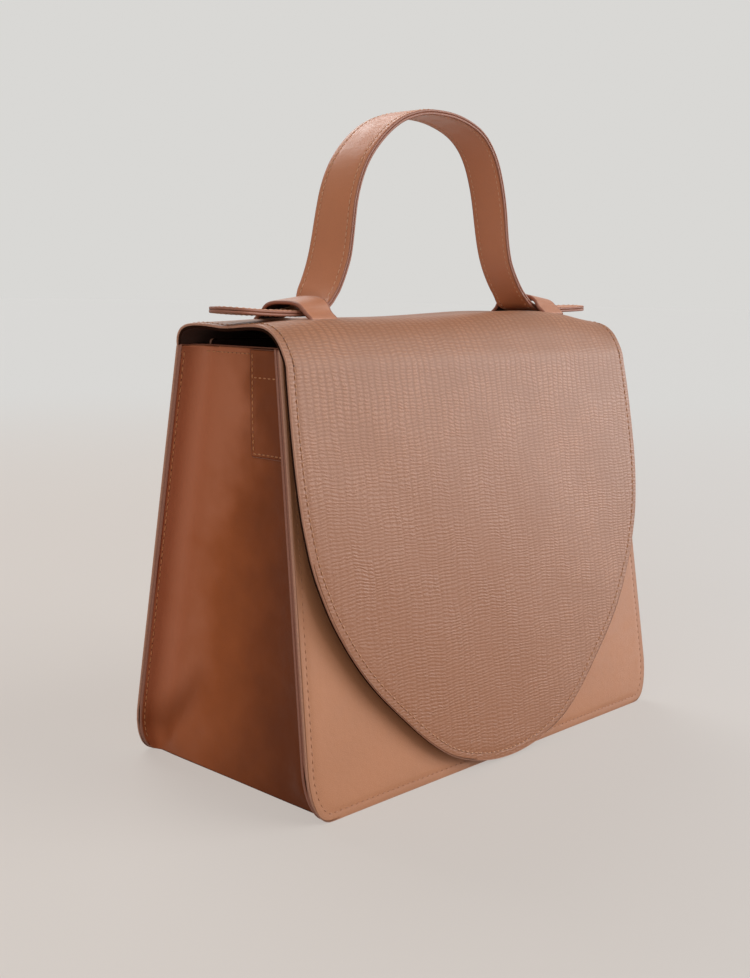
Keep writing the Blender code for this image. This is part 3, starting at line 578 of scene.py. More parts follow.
def embossed_leather(name, colour, roughness):
    """Leather pressed with columns of short bars, about 3.9 by 1.5 mm: the columns' furrows show most near
    the fold, and lower down the bars run together into slightly wavy rows. Painted shade darkens the furrows
    and the lower left, and a painted highlight lightens the bars' tops."""
    n = Nodes(name, roughness)
    uv = n.uv()
    wander = n.add("ShaderNodeTexNoise", {"Vector": uv, "Scale": 0.45, "Detail": 2.0}).outputs["Color"]
    bent = n.add("ShaderNodeVectorMath", {0: wander, 1: (0.45, 0.65, 0.0), 2: uv}, operation="MULTIPLY_ADD")
    place = n.split(bent.outputs["Vector"])
    low = n.range(place["Y"], 6.5, 13.0)
    jitter = n.math("SUBTRACT", n.noise(uv, 5.0, 2.0, 0.6), 0.5)
    column = n.plus(n.math("DIVIDE", place["X"], COLUMN_PITCH), n.times(jitter, 0.30))
    offset = n.math("FRACT", n.times(n.math("FLOOR", column), 0.618))
    row = n.plus(n.math("DIVIDE", place["Y"], ROW_PITCH), n.times(offset, 0.45))
    row = n.plus(row, n.times(jitter, n.fit(low, 0.2, 1.1)))
    across = n.math("ABSOLUTE", n.math("SUBTRACT", n.math("FRACT", column), 0.5))
    furrow = n.times(n.range(across, 0.16, 0.5), n.fit(low, -0.5, 1.1))
    down = n.fit(n.math("COSINE", n.times(row, 2 * math.pi)), 0.5, 0.5)
    bar = n.fit(n.math("POWER", down, 0.8), 0.7, 0.3)
    worn = n.range(n.noise(uv, 0.5, 3.0, 0.6), 0.3, 0.7, 0.6, 1.0)
    broken = n.range(n.noise(uv, 6.0, 2.0, 0.6), 0.25, 0.75, 0.7, 1.0)
    height = n.times(n.math("SUBTRACT", 1.0, n.times(furrow, 0.8)), bar)
    height = n.times(height, n.times(worn, broken))
    base = n.mottled(n.noise(uv, 0.25, 3.0, 0.55), 0.32, 0.68, colour, 0.94, 1.05)
    # Painted shade in the furrows and a painted highlight on the bars' tops
    base = n.mix(n.range(height, 0.05, 0.8), tone(colour, 0.80), base)
    base = n.mix(n.range(height, 0.7, 1.0, 0.0, 0.6), base, tone(colour, 1.2))
    base = n.mix(n.times(edge_value(n), 0.16), base, tone(colour, 0.6))
    # Painted shade on the lower left of the flap
    lower_left_shade = n.times(n.range(place["Y"], 8.5, 18.0), n.range(n.split(n.coords())["X"], 0.10, -0.02))
    base = n.mix(lower_left_shade, base, tone(colour, LOWER_FLAP_SHADE))
    normal = n.bump(n.noise(uv, 0.9, 2.0, 0.5), 0.0004, 0.25)
    normal = n.bump(height, 0.00020, 0.8, normal)
    normal = n.bump(n.noise(uv, 30.0, 3.0, 0.6), 0.00003, 0.5, normal)
    return n.finish(base, normal, n.range(height, 0.0, 1.0, roughness + 0.14, roughness, "LINEAR"))


def edge_leather(name, colour, roughness=0.5, shine=0.5):
    """A cut edge, rubbed and waxed: fine fibres along it and slightly uneven dye."""
    n = Nodes(name, roughness, shine=shine)
    fibre = n.noise(n.uv(), 9.0, 4.0, 0.65)
    base = n.mottled(fibre, 0.3, 0.7, colour, 0.86, 1.1)
    return n.finish(base, n.bump(fibre, 0.0001, 0.5))


def lining_leather(name, colour):
    """The soft inner leather: a fine, even nap."""
    n = Nodes(name, 0.7, shine=0.25)
    uv = n.uv()
    nap = n.noise(uv, 34.0, 4.0, 0.7)
    base = n.mottled(n.noise(uv, 0.7, 3.0, 0.6), 0.3, 0.7, colour, 0.9, 1.08)
    base = n.mix(n.times(nap, 0.3), base, tone(colour, 0.75))
    return n.finish(base, n.bump(nap, 0.00008, 0.7))


def thread(name, colour):
    """Waxed thread, with its twist as slanting ridges in the bump."""
    n = Nodes(name, 0.55, sheen=0.1)
    twist = n.noise(n.coords(), 2600.0, 2.0, 0.5, 0.6)
    base = n.mottled(twist, 0.3, 0.7, colour, 0.82, 1.12)
    return n.finish(base, n.bump(twist, 0.00005, 0.6))


def metal(name, colour, roughness):
    """Metal with fine wear, from the object's own coordinates."""
    n = Nodes(name, roughness, metallic=1.0)
    wear = n.noise(n.coords(), 900.0, 4.0, 0.6)
    base = n.mottled(wear, 0.3, 0.7, colour, 0.92, 1.05)
    rough = n.range(wear, 0.2, 0.8, roughness - 0.06, roughness + 0.08, "LINEAR")
    return n.finish(base, n.bump(wear, 0.00002, 0.3), rough)


def plain_board(name, colour):
    """Pressed fibre board, with fine flecks."""
    n = Nodes(name, 0.85)
    fleck = n.noise(n.coords(), 1500.0, 4.0, 0.7)
    base = n.mottled(fleck, 0.35, 0.65, colour, 0.8, 1.15)
    return n.finish(base, n.bump(fleck, 0.00008, 0.6))


# The panel leather's worn share of 0.45 darkens its edges: burnishing and painted shade
caramel = smooth_leather("panel leather", (0.425, 0.174, 0.079), 0.5, 0.45)
saddle = smooth_leather("gusset leather", (0.42, 0.108, 0.029), 0.42, 0.16, 0.16, painted_gusset_light=True)
keeper_leather = smooth_leather("keeper leather", (0.45, 0.185, 0.100), 0.40, 0.1)
strap_leather = smooth_leather("strap leather", (0.535, 0.193, 0.085), 0.43, 0.1, 0.4)
embossed = embossed_leather("embossed leather", (0.345, 0.143, 0.069), 0.42)
cut_edge = edge_leather("cut edge", (0.29, 0.105, 0.060))
light_edge = edge_leather("light cut edge", (0.46, 0.215, 0.135))
# The flap lining's edge is painted near black as the shade in the gap under the flap's edge
shade_black_edge = edge_leather("lining edge painted as shade", (0.028, 0.011, 0.007), 0.8, 0.0)
# The lining's near-black colour is partly its own dark leather and partly painted shade of the bag's inside
# and of the gap under the flap
inner = lining_leather("inner leather", (0.045, 0.022, 0.016))
tan_thread = thread("tan thread", (0.46, 0.21, 0.10))
panel_thread = thread("panel thread", (0.33, 0.13, 0.055))
gusset_thread = thread("gusset thread", (0.55, 0.22, 0.08))
strap_thread = thread("strap thread", (0.62, 0.34, 0.20))
# Needle holes: flat dark domes, painted as the shade inside each hole
hole_shade = thread("needle hole", (0.07, 0.020, 0.010))
flap_hole_shade = thread("flap needle hole", (0.15, 0.055, 0.030))
shallow_hole_shade = thread("shallow needle hole", (0.26, 0.085, 0.036))
steel = metal("steel", (0.46, 0.45, 0.44), 0.38)
brass = metal("brass", (0.72, 0.56, 0.33), 0.28)
board = plain_board("fibre board", (0.30, 0.27, 0.24))

# Looks of a sheet: its outer face, its rim and its inner face
PANEL_LOOK = (caramel, light_edge, inner)
SADDLE_LOOK = (saddle, cut_edge, inner)
LINING_LOOK = (inner, cut_edge, inner)


# Walls and gussets. A surface gives a point on the object for each (a, b)

def wall(depth, back=False, uneven=0.0, seed=1):
    """A wall's layer: a runs across and b is the height. It bows out a little and is slightly uneven."""
    side = 1.0 if back else -1.0

    def place(a, b):
        across = np.cos(np.clip(a / BOTTOM_HALF, -1, 1) * math.pi / 2)
        y = wall_y(b, depth) + WALL_BOW * across * np.sin(np.clip(b / HEIGHT, 0, 1) * math.pi)
        y = y + uneven * wave(a, b, seed)
        return np.stack([-a * side, side * y, b + 0 * a], axis=-1)
    return place


def panel_face(back):
    """The outer face of the front or the back panel."""
    return wall(0, back, WALL_UNEVEN, PANEL_SEED + back)


def relief_of(seam, groove, width, thin=0.0, reach=1.0):
    """A face that dips along its stitches and thins within a reach of its edge."""
    return lambda distance, a, b: -thin * smooth(1 - distance / reach) - groove * dip(distance - seam, width)


panel_relief = relief_of(SEAM, PANEL_GROOVE, 0.8 * MM, 0.22 * MM, 6.0 * MM)
patch_relief = relief_of(PATCH_SEAM, PATCH_GROOVE, 0.5 * MM)
flap_edge_relief = relief_of(SEAM, FLAP_GROOVE, 0.8 * MM, 0.2 * MM, 4.0 * MM)
strap_relief = relief_of(STRAP_SEAM, STRAP_GROOVE, 0.6 * MM, 0.1 * MM, 1.5 * MM)


def panel_sides(inset=0.0):
    """A wall's outline: straight bottom and top, slanted sides and round lower corners, split at their
    middle."""
    z = CORNER_RISE * (1 - np.cos(np.radians(np.linspace(0, 90, 25))))
    corner = np.stack([edge_x(z), z], axis=1)
    split = 9
    top_z = HEIGHT - inset
    cap = arc(half_width(top_z) - TOP_CORNER, top_z - TOP_CORNER, TOP_CORNER, 0, count=5)
    low, high = corner[:split + 1], cap[2:]
    right = np.concatenate([corner[split:], cap[:3]])
    scale = np.array([1 - inset / BOTTOM_HALF, 1.0])
    return [polyline(side * scale) for side in (np.concatenate([low[::-1] * MIRROR, low]), right,
                                                np.concatenate([high * MIRROR, high[::-1]]), right * MIRROR)]


def build_walls():
    """Front and back panels with their linings."""
    across, upwards = 0.226, 0.172
    for name, back in (("front", False), ("back", True)):
        skin = sheet(name + "_panel_leather", panel_face(back), panel_sides(), shares(across, 0.004),
                     shares(upwards, 0.004), PANEL, PANEL_RIM, 1, PANEL_LOOK, panel_relief)
        hand_over(skin, "bag", "caramel", name + "_panel")
        layer = sheet(name + "_lining_leather", wall(LINING_DEPTH, back), panel_sides(0.0002),
                      shares(across, 0.012), shares(upwards, 0.012), LINING, LINING_RIM, 1, LINING_LOOK)
        hand_over(layer, "bag", "lining", name + "_lining")


# A fold whose angle eases from 0 to 90 degrees: how far out and on it has come, per unit of its length
FOLD_T = np.linspace(0, 1, 201)
FOLD_TURN = math.pi / 2 * smooth(FOLD_T)
FOLD_OUT = np.r_[0, np.cumsum((np.sin(FOLD_TURN)[1:] + np.sin(FOLD_TURN)[:-1]) / 400)]
FOLD_ON = np.r_[0, np.cumsum((np.cos(FOLD_TURN)[1:] + np.cos(FOLD_TURN)[:-1]) / 400)]
FOLD_SIZE = FOLD_OUT[-1]


def gusset_fold(a, b):
    """Reach of a gusset's folds: soft at the back, tighter at the front and towards the floor."""
    radius = np.where(np.asarray(a) > 0, GUSSET_FOLDS[1], GUSSET_FOLDS[0])
    return TIGHT_FOLD + (radius - TIGHT_FOLD) * smooth(b / 0.030)


def corner_swell(size, b):
    """How far a gusset's lower corners push outwards, at a distance from the middle and a height."""
    return 0.0028 * smooth((size - 0.030) / 0.014) * smooth(1 - b / 0.045) * smooth(b / 0.012)


def gusset_dish(share, b):
    """How far a gusset sinks inwards: deepest a little in front of its middle (share runs from front -1 to
    back 1), and nothing at the floor or behind the patch."""
    part = np.where(share > DEEPEST, (1 - share) / (1 - DEEPEST), (1 + share) / (1 + DEEPEST))
    return GUSSET_DISH * smooth(part) * smooth((b - 0.012) / 0.035) * smooth((0.152 - b) / 0.055)


def gusset_face(side, lift=0.0):
    """A gusset's outer face. a runs round its section from front flange to back flange and b is the height:
    the middle sinks in softly, a fold whose angle eases from 0 to 90 degrees turns it outwards, and the
    flange follows the wall. Soft creases run from the lower corners up and inwards."""
    def place(a, b):
        size = np.abs(a)
        fold = np.maximum(gusset_fold(a, b) - lift, 0.0008)
        half = wall_y(b, INSIDE_DEPTH + GUSSET) - lift - fold
        turn = np.clip((size - half) * FOLD_SIZE / fold, 0, 1)
        beyond = np.maximum(size - half - fold / FOLD_SIZE, 0)
        crease = dip(size - (0.049 - 0.485 * (b - 0.005)), CREASE_WIDTH)
        crease = crease * smooth(1 - b / CREASE_HEIGHT) * smooth(b / 0.012)
        sunk = gusset_dish(np.clip(a / half, -1, 1), b) + CREASE_DEPTH * crease
        sunk = sunk - 0.00035 * wave(a, b, GUSSET_SEED) * smooth((half - size) / 0.010)
        x = half_width(b) - GUSSET_INSET + lift + corner_swell(size, b)
        x = x + fold * np.interp(turn, FOLD_T, FOLD_OUT) / FOLD_SIZE + beyond - sunk
        y = np.where(size < half, size, half + fold * np.interp(turn, FOLD_T, FOLD_ON) / FOLD_SIZE)
        return np.stack([side * x, np.sign(a) * y, b + 0 * a], axis=-1)
    return place


def gusset_reach(z, towards):
    """Half length of a gusset's section at a height, flange included, to the back (1) or the front (-1)."""
    fold = gusset_fold(towards * np.ones_like(z), z)
    half = wall_y(z, INSIDE_DEPTH + GUSSET) - fold
    room = np.maximum(edge_x(z) - (half_width(z) - GUSSET_INSET + corner_swell(half, z)), 0.0006)
    turn = np.interp(room / fold * FOLD_SIZE, FOLD_OUT, FOLD_T)
    return half + fold * turn / FOLD_SIZE + np.maximum(room - fold, 0)


def gusset_relief(distance, a, b):
    """A dip along the stitches of the flanges, and of the top edge, 3 mm down."""
    groove = dip(distance - FLANGE_SEAM, 0.0008) * (b < GUSSET_TOP - 0.006)
    groove = groove * smooth((np.abs(a) - 0.026) / 0.004) * smooth((b - 0.004) / 0.004)
    return -GUSSET_GROOVE * (groove + dip(GUSSET_TOP - b - 0.003, 0.0008))


def patch_lean(points):
    """Points of the patch's outline or seams, leaning forward by 2 mm towards their lower end."""
    share = (PATCH_HIGH - points[..., 1:]) / (PATCH_HIGH - PATCH_LOW)
    return points - np.concatenate([0.002 * share, 0 * share], axis=-1)


def build_gussets():
    """The two side walls and the patch on each."""
    low = CORNER_RISE * (1 - np.cos(np.radians(np.linspace(0, 90, 15))))
    z = np.r_[low, np.linspace(CORNER_RISE, GUSSET_TOP, 40)[1:]]
    back, front = gusset_reach(z, 1), -gusset_reach(z, -1)
    sides = [line((front[0], 0), (back[0], 0)), polyline(np.stack([back, z], axis=1)),
             line((front[-1], GUSSET_TOP), (back[-1], GUSSET_TOP)), polyline(np.stack([front, z], axis=1))]
    u = shares(2 * 0.052, 0.0022, tuple(np.arange(0.0006, 0.021, 0.0007)))
    v = shares(0.185, 0.0025)
    box = rounded_box(PATCH_FRONT, PATCH_BACK, PATCH_LOW, PATCH_HIGH, [0.0008] * 4)
    box = [lambda t, edge=edge: patch_lean(edge(t)) for edge in box]
    patch_u, patch_v = shares(0.0204, 0.0012, PATCH_LINES), shares(0.0455, 0.002, PATCH_LINES)
    for name, side in (("left", -1), ("right", 1)):
        skin = sheet("gusset_" + name + "_leather", gusset_face(side), sides, u, v, GUSSET, GUSSET_RIM, side,
                     SADDLE_LOOK, gusset_relief)
        hand_over(skin, "bag", "saddle", "gusset_" + name)
        patch = sheet("gusset_patch_" + name + "_leather", gusset_face(side, PATCH_LIFT), box, patch_u,
                      patch_v, PATCH, PATCH_RIM, side, SADDLE_LOOK, patch_relief)
        hand_over(patch, "bag", "saddle", "gusset_patch_" + name)


# The flap's path in the YZ plane: inside the back wall, over the top, down the front

def front_offset(share):
    """How far the hanging flap's outer face stands off the front panel, from fold 0 to tip 1."""
    return 0.0042 + 0.0004 * share + 0.0019 * math.sin(0.95 * math.pi * share)


def flap_path():
    """Points (y, z) of the flap's outer face, and the length along it."""
    points = [(30.9, 179.6), (31.1, 181.4), (31.1, 183.4), (30.4, 185.6), (28.6, 187.8), (25.8, 189.2),
              (22.3, 189.9), (18.2, 190.1), (13.5, 190.0), (8, 189.6), (2, 189.2), (-4, 189.4), (-10, 189.9),
              (-16, 190.2), (-21.2, 190.1), (-25.4, 189.2), (-29.2, 187.2), (-32.3, 184.4), (-34.7, 180.8)]
    points = [(y * MM, z * MM) for y, z in points]
    top = 0.176
    for z in np.linspace(top, FLAP_TIP_Z - 0.004, 40):
        share = min((top - z) / (top - FLAP_TIP_Z), 1.0)
        points.append((-wall_y(z, -front_offset(share)), z))
    path = curve(points)
    return path, length_along(path)


FLAP_PATH, FLAP_LENGTH = flap_path()


def flap_at(axis, value, after=0.0):
    """Length along the flap's path where it first passes a depth (axis 0) or a height (axis 1), beyond a
    given length."""
    for i in range(len(FLAP_PATH) - 1):
        a, b = FLAP_PATH[i][axis], FLAP_PATH[i + 1][axis]
        if FLAP_LENGTH[i] >= after and min(a, b) <= value <= max(a, b) and a != b:
            return FLAP_LENGTH[i] + (FLAP_LENGTH[i + 1] - FLAP_LENGTH[i]) * (value - a) / (b - a)
    return FLAP_LENGTH[-1]


S_SPLIT = flap_at(1, FLAP_SPLIT_Z)
S_MIDDLE = flap_at(0, STRAP_Y, S_SPLIT)
S_FRONT = flap_at(1, FRONT_FOLD_Z, S_MIDDLE)
S_TIP = flap_at(1, FLAP_TIP_Z, S_FRONT)


def top_dome(a):
    """How far the flap's top is drawn up by the keepers and the handle, more so on the right."""
    spots = np.array([-116, -104, -92, -78, -62, -40, -15, 0, 20, 40, 62, 78, 92, 104, 116]) * MM
    rises = np.array([0.0, 0.6, 1.6, 2.4, 2.6, 2.5, 3.0, 3.6, 4.6, 5.7, 5.8, 5.1, 3.3, 0.9, 0.0]) * MM
    return sum(np.interp(a + shift, spots, rises) for shift in np.linspace(-0.009, 0.009, 7)) / 7


def flap_face(depth=0.0):
    """The flap's outer face, or a layer below it. a runs across and b is the length along the path."""
    y_normal = np.gradient(FLAP_PATH[:, 1], FLAP_LENGTH)
    z_normal = -np.gradient(FLAP_PATH[:, 0], FLAP_LENGTH)

    def place(a, b):
        y, z, ny, nz = (np.interp(b, FLAP_LENGTH, values)
                        for values in (FLAP_PATH[:, 0], FLAP_PATH[:, 1], y_normal, z_normal))
        top = smooth((b - S_SPLIT - 0.007) / 0.022) * smooth((S_FRONT + 0.004 - b) / 0.022)
        hang = smooth((b - S_FRONT) / 0.03)
        edge = np.clip(np.abs(a) / FLAP_TOP_HALF, 0, 1)
        lift = 0.0002 * wave(a, b, FLAP_SEED) * (top + hang) + top * top_dome(a)
        lift = lift + hang * 0.0003 * edge ** 6 - depth
        return np.stack([a + 0 * b, y + ny * lift, z + nz * lift], axis=-1)
    return place


def flap_front_sides(inset=0.0):
    """Outline of the front half: nearly straight sides and one round end, split where they meet."""
    down = curve([(FLAP_TOP_HALF / MM, 190.0), (FLAP_TOP_HALF / MM, 178.0)] + [(x, z) for z, x in FLAP_HALVES]
                 + [(-19.5, 3.2)])[8:-8] * MM
    front = FLAP_LENGTH > S_FRONT
    along = np.interp(-down[:, 1], -FLAP_PATH[front, 1], FLAP_LENGTH[front])
    across = down[:, 0] * (1 - inset / FLAP_TOP_HALF)
    edge = np.stack([across, along - inset * (along - S_FRONT) / S_TIP], axis=1)
    edge[-1, 0] = 0.0
    split = int(np.argmin(np.abs(down[:, 1] - 0.048)))
    start = (FLAP_TOP_HALF - inset, S_MIDDLE)
    right = np.concatenate([[start], edge[:split + 1]])
    low = edge[split:]
    top = np.concatenate([low * MIRROR, low[::-1][1:]])
    return [line((-start[0], S_MIDDLE), start), polyline(right), polyline(top), polyline(right * MIRROR)]


def flap_back_sides(inset=0.0):
    """Outline of the back half, from the split to the middle of the top."""
    half = FLAP_TOP_HALF - inset
    return [line((-half, S_SPLIT), (half, S_SPLIT)), line((half, S_SPLIT), (half, S_MIDDLE)),
            line((-half, S_MIDDLE), (half, S_MIDDLE)), line((-half, S_SPLIT), (-half, S_MIDDLE))]


def flap_front_rim(t):
    """The front half's edge as one line, from its right end round the tip to its left end."""
    right, low = (side(t) for side in flap_front_sides()[1:3])
    return np.concatenate([right, low[::-1][1:], (right * MIRROR)[::-1][1:]])


def flap_relief(distance, a, b):
    """The flap's thinned edge and groove, by the distance to the whole flap's outline, so that both halves
    share one seam line."""
    points = np.stack([a, b], axis=-1)
    t = np.linspace(0, 1, 200)
    back = flap_back_sides()[1](t)
    outline = np.concatenate([back, flap_front_rim(t)[1:], (back * MIRROR)[::-1][1:]])
    return flap_edge_relief(distance_to(points.reshape(-1, 2), outline).reshape(a.shape), a, b)


def anchor_face(depth):
    """The anchor inside the back wall: a runs across and b is the height."""
    def place(a, b):
        lean = 0.0004 * smooth((b - 0.178) / 0.005)
        return np.stack([a, wall_y(b, INSIDE_DEPTH + 0.0001 + depth) - lean, b + 0 * a], axis=-1)
    return place


def build_flap():
    """Anchor, back half and front half of the flap, each as leather over lining."""
    u = shares(0.226, 0.0032)
    v_back = shares(S_MIDDLE - S_SPLIT, 0.0016, ends=(False, False))
    v_front = shares(S_TIP - S_MIDDLE, 0.0032, ends=(False, True))
    anchor_sides = rounded_box(-ANCHOR_HALF, ANCHOR_HALF, ANCHOR_LOW, ANCHOR_HIGH, [0.0015] * 4)
    wide, tall = shares(0.195, 0.008), shares(0.0316, 0.003)
    layers = (("outer", "embossed", 0.0, FLAP_LEATHER, FLAP_RIM,
               (embossed, light_edge, inner), 0.0, flap_relief),
              ("lining", "lining", FLAP_LEATHER + 0.00005, FLAP_LINING, FLAP_LINING_RIM,
               (inner, shade_black_edge, inner), 0.00015, None))
    for layer, slot, depth, thick, radius, look, inset, relief in layers:
        piece = sheet("flap_anchor_" + layer + "_leather", anchor_face(depth), anchor_sides, wide, tall,
                      thick, radius, -1, look)
        hand_over(piece, "bag", slot, "flap_anchor_" + layer)
        piece = sheet("flap_back_" + layer + "_leather", flap_face(depth), flap_back_sides(inset), u, v_back,
                      thick, radius, -1, look, relief, ("bottom", "top"))
        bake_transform(piece)
        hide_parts("flap_top_" + layer)
        piece = sheet("flap_front_" + layer + "_leather", flap_face(depth), flap_front_sides(inset), u,
                      v_front, thick, radius, -1, look, relief, ("bottom",))
        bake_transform(piece)
        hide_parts("flap_front_" + layer)


# Strap: how far its arms hang to the right of their drawn place at a height, how far they turn in, and how
# far each end is drawn up, fading with the height above its foot. All in millimetres

SWAY_LEFT = ((196, 0), (199.5, -1.2), (203.5, -2.6), (208, -3.5), (216.5, -3.8), (225, -4.0), (233, -3.8),
             (241.5, -3.7), (250, -3.3), (258, -2.6), (265, -1.6), (271.3, -1.0), (276, -1.0), (281.5, 0))
SWAY_RIGHT = ((194, 0), (199.5, 1.0), (205.5, 1.6), (210.3, 0.9), (219.8, -1.5), (229.2, -2.5), (238.5, -3.0),
              (247.5, -2.7), (256.5, -2.1), (265, -0.4), (271.3, 1.1), (277, 2.4), (281.5, 0))
TOE_IN = ((198, 0), (204, 1.7), (218, 1.9), (240, 1.0), (270, 0.8), (282, 0))
STRAP_RISE = ((2.3, 30), (4.4, 16))


def sway(z, table):
    """The value of a table at a height, all in millimetres."""
    heights, shifts = zip(*table)
    return np.interp(z, heights, shifts)


def strap_path():
    """Points (x, z) of the strap's middle line from the left tip to the right tip, and its length. Half of it
    is drawn as (x, height above the foot): the tongue, the flare under the keeper and the arch."""
    drawn = [(119.8, 1.4), (112.1, 1.0), (104.0, 0.5), (94.9, 0.15), (86.0, 0.0),
             (80.1, 0.18), (75.3, 0.9), (70.4, 2.5), (67.1, 4.9), (64.2, 8.3), (60.0, 13.4), (56.8, 19.4),
             (54.3, 26.3), (52.6, 34.5),
             (51.5, 42.4), (50.0, 50.8), (47.8, 58.4), (44.9, 65.3), (40.4, 72.2), (33.6, 79.0), (25.3, 84.2),
             (17.2, 87.4), (9.0, 89.2), (0.0, 89.6)]
    left, right = ([((side * x + sway(STRAP_BASE + z, table)) * MM,
                     (STRAP_BASE + z + rise * max(1 - z / fade, 0)) * MM) for x, z in drawn]
                   for side, table, (rise, fade) in zip((-1, 1), (SWAY_LEFT, SWAY_RIGHT), STRAP_RISE))
    path = curve(left + right[-2::-1])
    for _ in range(12):
        path[1:-1] = path[1:-1] * 0.5 + (path[:-2] + path[2:]) * 0.25
    return path, length_along(path)


STRAP_PATH, STRAP_LENGTH = strap_path()
STRAP_BOX = rounded_box(0.0, STRAP_LENGTH[-1], -STRAP_HALF, STRAP_HALF, [STRAP_HALF * 0.98] * 4)


def strap_face(depth):
    """A layer of the strap: a runs along it, b across it, and depth is below the middle line's outer side.
    Its arms turn a little, so that their front edges stand closer together than their back edges."""
    x_normal = -np.gradient(STRAP_PATH[:, 1], STRAP_LENGTH)
    z_normal = np.gradient(STRAP_PATH[:, 0], STRAP_LENGTH)

    def place(a, b):
        x, z, nx, nz = (np.interp(a, STRAP_LENGTH, values)
                        for values in (STRAP_PATH[:, 0], STRAP_PATH[:, 1], x_normal, z_normal))
        lift = 0.00025 * (1 - (b / STRAP_HALF) ** 2) - depth
        twist = np.clip(x / 0.03, -1, 1) * sway(z / MM, TOE_IN) * MM * b / STRAP_HALF
        return np.stack([x + nx * lift + twist, STRAP_Y + b, z + nz * lift], axis=-1)
    return place


def build_strap():
    """The strap's two plies, each one piece from tip to tip."""
    u = shares(STRAP_LENGTH[-1], 0.0016, STRAP_LINES)
    v = shares(2 * STRAP_HALF, 0.0016, STRAP_LINES)
    for name, depth, look, relief in (("outer", -STRAP_PLY, (strap_leather, cut_edge, inner), strap_relief),
                                      ("inner", 0.0, (inner, cut_edge, strap_leather), None)):
        ply = sheet("strap_" + name + "_leather", strap_face(depth), STRAP_BOX, u, v, STRAP_PLY, STRAP_RIM, 1,
                    look, relief)
        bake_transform(ply)
        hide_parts("handle_arch_" + name, "handle_end_left_" + name, "handle_end_right_" + name)


# Keepers

def keeper_arch(base, rise):
    """A keeper's middle line from foot to foot as points (y, z), with each point's share of its length. The
    feet dive into the flap, flare up through a soft bend and join a squarish arch: the cube of a point's
    distance from the middle over the half width, plus the cube of its height over the rise, is 1."""
    half = 0.0125
    points = [(-0.0171, base - 0.0007), (-0.0164, base + 0.0001), (-0.0155, base + 0.0007),
              (-0.0145, base + 0.0013), (-0.0135, base + 0.0021), (-0.0127, base + 0.0031)]
    for i in range(4, 17):
        t = math.pi / 2 * i / 16
        points.append((-half * max(math.cos(t), 0) ** (2 / 3), base + rise * math.sin(t) ** (2 / 3)))
    left = np.array(points)
    arch = np.concatenate([left, (left[:-1] * MIRROR)[::-1]])
    length = length_along(arch)
    return arch, length / length[-1]


def keeper_face(side):
    """A keeper's outer face: a runs over its arch and b across the band, which flares towards the handle.
    Its feet follow the flap's own height where they enter it."""
    base = 0.1896 + float(top_dome(np.array(side * KEEPER_MIDDLE)))
    flap = flap_face()(np.full(300, side * KEEPER_MIDDLE), np.linspace(S_SPLIT, S_FRONT, 300))[::-1]
    arches = [keeper_arch(base, rise) for rise in (0.0068, 0.0088)]

    def place(a, b):
        points = []
        for arch, share in arches:
            middle = points_at(arch, share, a)
            ny = -np.interp(a, share, np.gradient(arch[:, 1], share))
            nz = np.interp(a, share, np.gradient(arch[:, 0], share))
            points.append(middle + unit(np.stack([ny, nz], axis=-1)) * KEEPER / 2)
        mix = np.clip((KEEPER_OUT - b) / (KEEPER_OUT - KEEPER_IN), -0.1, 1.1)[..., None]
        both = points[0] * (1 - mix) + points[1] * mix
        y = STRAP_Y + both[..., 0]
        ground = np.interp(y, flap[:, 1], flap[:, 2]) - base
        z = both[..., 1] + ground * smooth((np.abs(both[..., 0]) - 0.0105) / 0.0045)
        return np.stack([side * b, y, z], axis=-1)
    return place


def build_keepers():
    """The two bands over the strap, each a closed band: outer face, inner face a thickness below, and
    half-round rims."""
    step = 0.001
    across = shares(0.0144, 0.0012, KEEPER_LINES)
    b = KEEPER_IN + (KEEPER_OUT - KEEPER_IN) * across
    along = np.linspace(0, 1, 80)
    turns = np.linspace(0, math.pi, 5)[:, None]
    flat = len(b) - 2
    for name, side in (("left", -1), ("right", 1)):
        face = keeper_face(side)
        out = np.array([side, 0.0, 0.0]) * KEEPER_RIM
        rings = []
        for share in along:
            a = np.full_like(b, share)
            outer = face(a, b)
            ahead = face(np.clip(a + step, 0, 1), b) - face(np.clip(a - step, 0, 1), b)
            up = unit(np.cross([1.0, 0.0, 0.0], ahead)) * KEEPER / 2
            last = outer[-1] - up[-1] + up[-1] * np.cos(turns) + out * np.sin(turns)
            first = outer[0] - up[0] - up[0] * np.cos(turns) - out * np.sin(turns)
            rings.append(np.concatenate([outer[1:-1], last, (outer - 2 * up)[1:-1][::-1], first]))
        count = len(rings[0])
        groups = [0 if j < flat - 1 else 2 if flat + 5 <= j < 2 * flat + 4 else 1 for j in range(count)]
        uv = np.array([(i / (len(along) - 1) * 0.062, j / count * 0.032) for i in range(len(along))
                       for j in range(count)])
        band = loft("keeper_" + name + "_leather", rings, (keeper_leather, cut_edge, inner), groups, 1, uv)
        hand_over(band, "flap_top", "caramel", "keeper_" + name)


# Thread

def resampled(path, step=0.0005):
    """The same open path with points at an even step."""
    steps = length_along(path)
    return points_at(path, steps, np.arange(0, steps[-1], step))


def seam_path(outline, distance):
    """A path a distance inside an open outline that is walked anticlockwise."""
    outline = resampled(outline)
    after = np.roll(outline, -1, axis=0) - outline
    after[-1] = after[-2]
    after = unit(after)
    before = np.roll(after, 1, axis=0)
    before[0] = after[0]
    return outline - to_the_right(unit(after + before)) * distance


